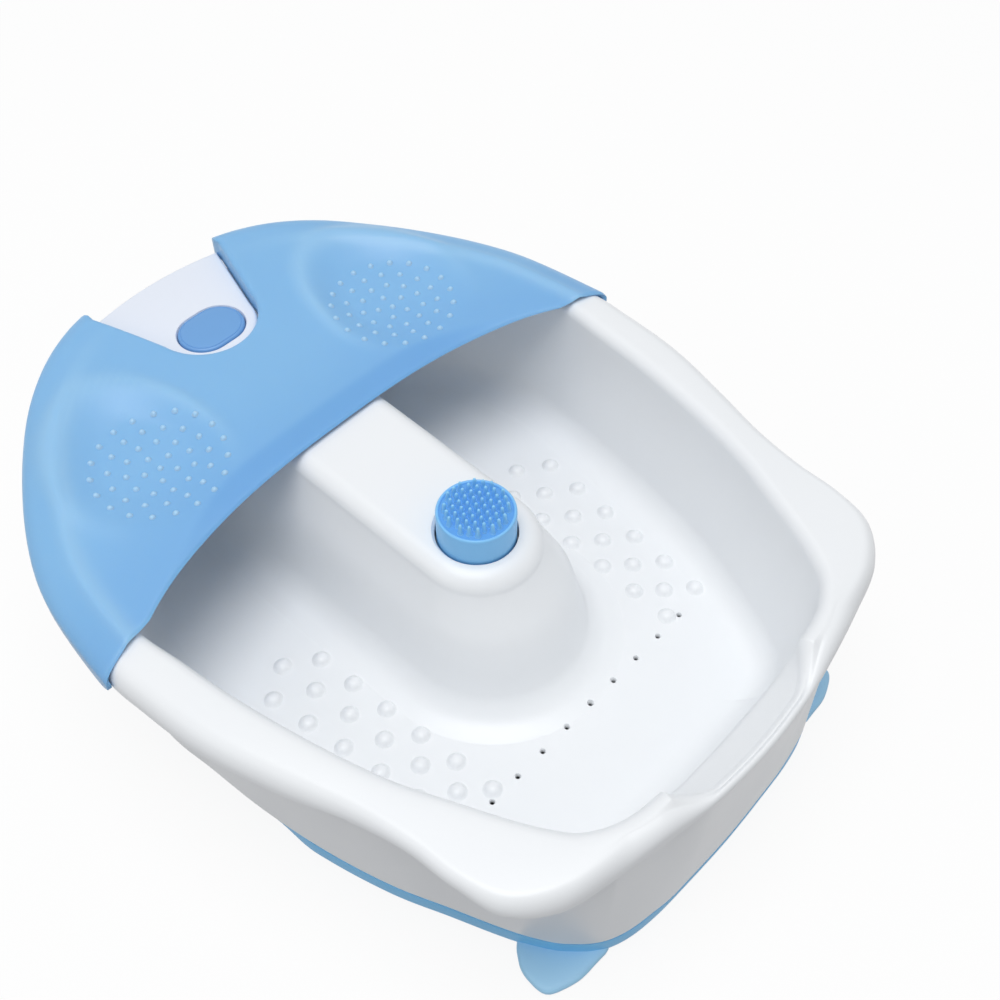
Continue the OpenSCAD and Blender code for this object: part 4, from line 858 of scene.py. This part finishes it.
def makeButton():
    w, l = button["size"]
    top = panel["low"] + panel["thick"] + button["proud"]
    under = panel["low"] + 1.3
    shape = [(3.2, under - 1.2), (3.2, under), (0, under), (0, top - 2.0), (-0.5, top - 1.4), (-1.4, top - 0.95),
             (-2.6, top - 0.8), (-3.1, top - 1.05), (-3.7, top - 1.05), (-4.2, top - 0.7),
             (-8, top - 0.35), (-14, top - 0.1), (-22, top)]
    piece = loftRings("toeButton", [ovalRing(w + grow, l + grow, z) for grow, z in shape])
    stem = [(3.4, panel["low"] - 14.85), (4, panel["low"] - 14.4), (4, under)]
    joinAll(piece, [turnedPiece("buttonStem", stem, 32, (0, button["centreY"]))])
    return piece


def makeSpring():
    perTurn, sides = 28, 10
    total = button["turns"] * perTurn
    wire, radius = button["wire"], button["springR"]
    low, high = button["springLow"] + wire, button["springHigh"] - wire
    rings = []
    for k in range(total + 1):
        a = 2 * math.pi * k / perTurn
        z = blendOf(low, high, k / total)
        ring = []
        for b in [2 * math.pi * j / sides for j in range(sides)]:
            reach = radius + wire * math.cos(b)
            ring.append((reach * math.cos(a), button["centreY"] + reach * math.sin(a), z + wire * math.sin(b)))
        rings.append(ring)
    return loftRings("buttonSpring", rings)


panelPiece = makePanel()
smoothShade(panelPiece, 40)
settle(panelPiece, "tub", ["control_panel"])
buttonPiece = makeButton()
smoothShade(buttonPiece, 40)
settle(buttonPiece, "button", ["toe_button"])
springPiece = makeSpring()
smoothShade(springPiece, 60)
settle(springPiece, "tub", ["button_spring"])
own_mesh(springPiece)
print("panel and button done")


# massage brush: turned body with a raised ring and a field of soft pins
brush = {
    "centreY": -42, "r": 20.5, "top": 128, "low": 100, "ring": 1.4, "dish": 1.0,
    "pinR": 1.35, "tipR": 0.8, "pinL": 6.5, "pitch": 4.4,
}


def makeBrush():
    r, top, low = brush["r"], brush["top"], brush["low"]
    inner = r - brush["ring"]
    profile = [(1, low - 8), (4.4, low - 8), (5, low - 7.4), (5, low), (r - 1, low), (r - 0.3, low + 0.3),
               (r, low + 1), (r, low + 9), (r, top - 1.1), (r - 0.2, top - 0.45), (r - 0.6, top - 0.08),
               (r - 0.95, top), (inner + 0.1, top - 0.12), (inner - 0.2, top - 0.45),
               (inner - 0.5, top - brush["dish"]), (8, top - brush["dish"]), (1, top - brush["dish"])]
    piece = turnedPiece("massageBrush", profile, 96, (0, brush["centreY"]))
    floor = top - brush["dish"]
    # painted shade: the dish between the pins is tinted darker than the body
    dishShade = piece.data.attributes.new("dishTone", "FLOAT", "POINT")
    for i, v in enumerate(piece.data.vertices):
        inDish = v.co.z > (top - 2) * mm and math.hypot(v.co.x, v.co.y - brush["centreY"] * mm) < (inner - 0.4) * mm
        dishShade.data[i].value = 1.0 if inDish else 0.0
    pr, tr, pl = brush["pinR"], brush["tipR"], brush["pinL"]
    pinProfile = [(pr + 0.5, -0.2), (pr + 0.12, 0.35), (pr, 1.0), (blendOf(pr, tr, 0.6), pl * 0.6),
                  (tr + 0.06, pl - 0.9), (tr * 0.86, pl - 0.36), (tr * 0.5, pl - 0.08), (tr * 0.12, pl)]
    first = turnedPiece("brushPin", [(a, floor + b) for a, b in pinProfile], 14, (0, brush["centreY"]))
    reach = inner - 0.6 - pr - 0.2
    copies = []
    for rowIndex in range(-4, 5):
        for k in range(9 - abs(rowIndex)):
            x = (k - 4 + abs(rowIndex) / 2) * brush["pitch"]
            y = rowIndex * brush["pitch"] * math.sqrt(3) / 2
            if math.hypot(x, y) < reach:
                copies.append(copyAt(first, (x, y, 0)))
    bpy.data.objects.remove(first)
    joinAll(copies[0], copies[1:])
    copies[0].name = "brushPins"
    return piece, copies[0]


brushPiece, pinPiece = makeBrush()
smoothShade(brushPiece, 45)
smoothShade(pinPiece, 60)
settle(brushPiece, "brush", ["massage_brush"])
settle(pinPiece, "brush", [])
print("brush done")


# materials

class Wire:
    # wraps one output socket, so that shader sums read as plain expressions
    def __init__(self, tree, socket):
        self.tree, self.socket = tree, socket

    def put(self, operation, other):
        return makeNode(self.tree, "ShaderNodeMath", {"operation": operation}, {0: self, 1: other})

    def __add__(self, other):
        return self.put("ADD", other)

    def __sub__(self, other):
        return self.put("SUBTRACT", other)

    def __mul__(self, other):
        return self.put("MULTIPLY", other)


def makeNode(tree, kind, settings=None, inputs=None, output=0):
    node = tree.nodes.new(kind)
    for name, value in (settings or {}).items():
        if name == "stops":
            while len(node.color_ramp.elements) < len(value):
                node.color_ramp.elements.new(0.5)
            for element, (spot, colour) in zip(node.color_ramp.elements, value):
                element.position, element.color = spot, colour
        else:
            setattr(node, name, value)
    for name, value in (inputs or {}).items():
        if isinstance(value, Wire):
            tree.links.new(value.socket, node.inputs[name])
        else:
            node.inputs[name].default_value = value
    return Wire(tree, node.outputs[output])


def linear(r, g, b):
    # the colour as it is seen, 0 to 255, in linear light
    return tuple((c / 255 / 12.92 if c <= 10.31 else ((c / 255 + 0.055) / 1.055) ** 2.4) for c in (r, g, b)) + (1.0,)


def startMaterial(name):
    material = bpy.data.materials.new(name)
    material.use_nodes = True
    tree = material.node_tree
    tree.nodes.clear()
    coords = makeNode(tree, "ShaderNodeTexCoord", output=3)
    return material, tree, coords


def finishMaterial(tree, links, constants):
    shader = tree.nodes.new("ShaderNodeBsdfPrincipled")
    for name, value in constants.items():
        shader.inputs[name].default_value = value
    for name, value in links.items():
        tree.links.new(value.socket, shader.inputs[name])
    output = tree.nodes.new("ShaderNodeOutputMaterial")
    tree.links.new(shader.outputs[0], output.inputs[0])


def noiseAt(tree, coords, scale, detail, rough):
    return makeNode(tree, "ShaderNodeTexNoise", {},
                    {"Vector": coords, "Scale": scale, "Detail": detail, "Roughness": rough})


def mixColour(tree, share, a, b):
    return makeNode(tree, "ShaderNodeMix", {"data_type": "RGBA"}, {0: share, 6: a, 7: b}, 2)


def bumpFrom(tree, height, strength, distance):
    return makeNode(tree, "ShaderNodeBump", {}, {"Strength": strength, "Distance": distance, "Height": height})


def attributeOf(tree, name):
    return makeNode(tree, "ShaderNodeAttribute", {"attribute_name": name}, {}, 2)


plasticLook = {"cloud": 14, "drift": 0.5, "grainScale": 900, "wave": 55}


def mouldedPlastic(name, colour, shade, rough, grain=0.10, constants=None, paintedLightTones=(), wear=0.35):
    # moulded plastic: faint colour drift, a fine grain and a gloss that varies a little
    material, tree, coords = startMaterial(name)
    drift = noiseAt(tree, coords, plasticLook["cloud"], 3, 0.55)
    fine = noiseAt(tree, coords, plasticLook["grainScale"], 2, 0.6)
    wavy = noiseAt(tree, coords, plasticLook["wave"], 2, 0.5)
    seen = mixColour(tree, drift * plasticLook["drift"], colour, shade)
    # painted light: each listed attribute mixes in a tint, darker for painted shade and lighter for painted highlight
    for attribute, tint, share in paintedLightTones:
        seen = mixColour(tree, attributeOf(tree, attribute) * share, seen, tint)
    if wear:
        edges = makeNode(tree, "ShaderNodeNewGeometry", {}, {}, 7)
        stops = [(0.49, (0, 0, 0, 1)), (0.60, (1, 1, 1, 1))]
        worn = makeNode(tree, "ShaderNodeValToRGB", {"stops": stops}, {0: edges})
        lighter = tuple(min(1.0, c * 1.06 + 0.012) for c in colour[:3]) + (1.0,)
        seen = mixColour(tree, makeNode(tree, "ShaderNodeRGBToBW", {}, {0: worn}) * wear, seen, lighter)
    gloss = (drift - 0.5) * 0.10 + (wavy - 0.5) * 0.06 + rough
    height = fine * 0.6 + wavy * 1.5
    normal = bumpFrom(tree, height, grain, 0.0006)
    finishMaterial(tree, {"Base Color": seen, "Roughness": gloss, "Normal": normal}, constants or {})
    return material


def brushedMetal(name, colour, shade, rough):
    material, tree, coords = startMaterial(name)
    stretched = makeNode(tree, "ShaderNodeMapping", {}, {"Vector": coords, "Scale": (60, 60, 1400)})
    lines = noiseAt(tree, stretched, 1.0, 3, 0.6)
    drift = noiseAt(tree, coords, 40, 3, 0.5)
    seen = mixColour(tree, drift, colour, shade)
    gloss = lines * 0.16 + rough - 0.06
    normal = bumpFrom(tree, lines, 0.12, 0.0003)
    finishMaterial(tree, {"Base Color": seen, "Roughness": gloss, "Normal": normal}, {"Metallic": 1.0})
    return material


def softRubber(name, colour, shade):
    material, tree, coords = startMaterial(name)
    dots = makeNode(tree, "ShaderNodeTexVoronoi", {}, {"Vector": coords, "Scale": 650}, 0)
    dust = noiseAt(tree, coords, 30, 4, 0.6)
    seen = mixColour(tree, dust * 0.7, colour, shade)
    normal = bumpFrom(tree, dots, 0.18, 0.0004)
    finishMaterial(tree, {"Base Color": seen, "Roughness": dust * 0.2 + 0.55, "Normal": normal}, {})
    return material


glow = {
    "Subsurface Weight": 0.25, "Subsurface Radius": (0.6, 0.9, 1.0), "Subsurface Scale": 0.004,
    "Specular IOR Level": 0.45,
}
shellWhite = mouldedPlastic("shellWhite", linear(243, 245, 247), linear(236, 239, 243), 0.33, grain=0.05, wear=0)
panelWhite = mouldedPlastic("panelWhite", linear(234, 239, 249), linear(228, 234, 246), 0.34, grain=0.05)
# guardBlue carries painted shade on the lip strip and front (darker tint) and painted highlights on the rest crests
# and the fold (lighter tint)
guardBlue = mouldedPlastic("guardBlue", linear(136, 189, 233), linear(127, 182, 230), 0.36, grain=0.08, constants=glow,
                           paintedLightTones=[("lipTone", linear(100, 160, 220), 0.65), ("crestTone", linear(164, 208, 241), 0.5)])
# the bumps' paler blue is a painted highlight on the same blue plastic as the guard
bumpBluePaintedHighlight = mouldedPlastic("bumpBluePaintedHighlight", linear(171, 210, 243), linear(160, 203, 240), 0.30, constants=glow)
bandBlue = mouldedPlastic("bandBlue", linear(130, 207, 255), linear(124, 201, 254), 0.42, wear=0)
# the feet are the band's blue plastic, painted lighter to stand in for the light lost in the shade under the rim
footBluePaintedLight = mouldedPlastic("footBluePaintedLight", linear(172, 222, 255), linear(165, 217, 254), 0.42)
buttonBlue = mouldedPlastic("buttonBlue", linear(116, 168, 222), linear(108, 160, 217), 0.35)
# the dish tint is painted shade between the pins
brushBlue = mouldedPlastic("brushBlue", linear(134, 200, 250), linear(124, 192, 246), 0.38,
                           paintedLightTones=[("dishTone", linear(92, 160, 226), 0.85)])
pinBlue = mouldedPlastic("pinBlue", linear(146, 208, 254), linear(136, 200, 251), 0.36, constants=glow)
darkPlastic = mouldedPlastic("darkPlastic", linear(52, 54, 58), linear(44, 46, 50), 0.5)
whiteNylon = mouldedPlastic("whiteNylon", linear(228, 228, 222), linear(216, 217, 212), 0.45)
greyRubber = softRubber("greyRubber", linear(92, 96, 102), linear(110, 114, 118))
blackRubber = softRubber("blackRubber", linear(34, 35, 37), linear(52, 53, 55))
steelGrey = brushedMetal("steelGrey", linear(196, 198, 202), linear(176, 178, 182), 0.30)
motorSteel = brushedMetal("motorSteel", linear(170, 172, 176), linear(150, 152, 156), 0.36)
aluminium = brushedMetal("aluminiumFoil", linear(212, 214, 216), linear(198, 200, 203), 0.34)

finishes = {
    "white_shell": shellWhite, "panel_white": panelWhite, "guard_blue": guardBlue, "base_blue": bandBlue,
    "button_blue": buttonBlue,
    "brush_blue": brushBlue, "grey_rubber": greyRubber, "black_rubber": blackRubber, "dark_plastic": darkPlastic,
    "white_nylon": whiteNylon, "steel": steelGrey, "motor_steel": motorSteel, "aluminium": aluminium,
}


def dress(piece, material):
    piece.data.materials.clear()
    piece.data.materials.append(material)


dressed = (
    (tubPiece, shellWhite), (guardPiece, guardBlue), (bumpPiece, bumpBluePaintedHighlight), (basePiece, bandBlue),
    (feetPiece, footBluePaintedLight), (panelPiece, panelWhite), (buttonPiece, buttonBlue), (springPiece, steelGrey),
    (brushPiece, brushBlue), (pinPiece, pinBlue))
for piece, material in dressed:
    dress(piece, material)
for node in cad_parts.values():
    for slot in node.material_slots:
        slot.material = finishes[slot.material.name]
print("materials done")


# studio: pale floor, soft light from above
studio = {
    "floorSize": 12, "floorTone": (0.92, 0.92, 0.92, 1), "bounceTone": (0.30, 0.30, 0.31, 1), "evenShare": 0.9,
    "sky": 0.5, "skyTone": (0.97, 0.985, 1.0, 1), "aim": (0, 0, 0.08),
    "lights": (("topLight", (-0.2, -0.1, 2.4), 1.7, 29), ("sideLight", (-1.6, 0.5, 1.3), 1.2, 2.5)),
}


def makeFloor():
    deselectAll()
    bpy.ops.mesh.primitive_plane_add(size=studio["floorSize"], location=(0, 0, 0))
    floor = bpy.context.object
    floor.name = "paleFloor"
    material = bpy.data.materials.new("paleFloor")
    material.use_nodes = True
    tree = material.node_tree
    tree.nodes.clear()
    path = tree.nodes.new("ShaderNodeLightPath")
    seen = Wire(tree, path.outputs["Is Camera Ray"]) + Wire(tree, path.outputs["Is Glossy Ray"])
    seen = seen + Wire(tree, path.outputs["Is Transmission Ray"])
    pale = makeNode(tree, "ShaderNodeBsdfDiffuse", {}, {"Color": studio["floorTone"]})
    bounce = makeNode(tree, "ShaderNodeBsdfDiffuse", {}, {"Color": studio["bounceTone"]})
    white = makeNode(tree, "ShaderNodeEmission", {}, {"Color": (1, 1, 1, 1), "Strength": 1.0})
    shown = makeNode(tree, "ShaderNodeMixShader", {}, {0: studio["evenShare"], 1: pale, 2: white})
    both = makeNode(tree, "ShaderNodeMixShader", {}, {0: seen, 1: bounce, 2: shown})
    output = tree.nodes.new("ShaderNodeOutputMaterial")
    tree.links.new(both.socket, output.inputs[0])
    floor.data.materials.append(material)


def makeLights():
    world = bpy.data.worlds.new("softSky")
    bpy.context.scene.world = world
    world.use_nodes = True
    tree = world.node_tree
    tree.nodes.clear()
    path = tree.nodes.new("ShaderNodeLightPath")
    seen = Wire(tree, path.outputs["Is Camera Ray"])
    strength = seen * (1.0 - studio["sky"]) + studio["sky"]
    sky = makeNode(tree, "ShaderNodeBackground", {}, {"Color": studio["skyTone"], "Strength": strength})
    output = tree.nodes.new("ShaderNodeOutputWorld")
    tree.links.new(sky.socket, output.inputs[0])
    for name, place, size, power in studio["lights"]:
        light = bpy.data.lights.new(name, "AREA")
        light.shape = "DISK"
        light.size = size
        light.energy = power
        lamp = bpy.data.objects.new(name, light)
        bpy.context.scene.collection.objects.link(lamp)
        lamp.location = place
        lamp.rotation_euler = (Vector(studio["aim"]) - Vector(place)).to_track_quat("-Z", "Y").to_euler()


makeFloor()
makeLights()
print("studio done")

deselectAll()
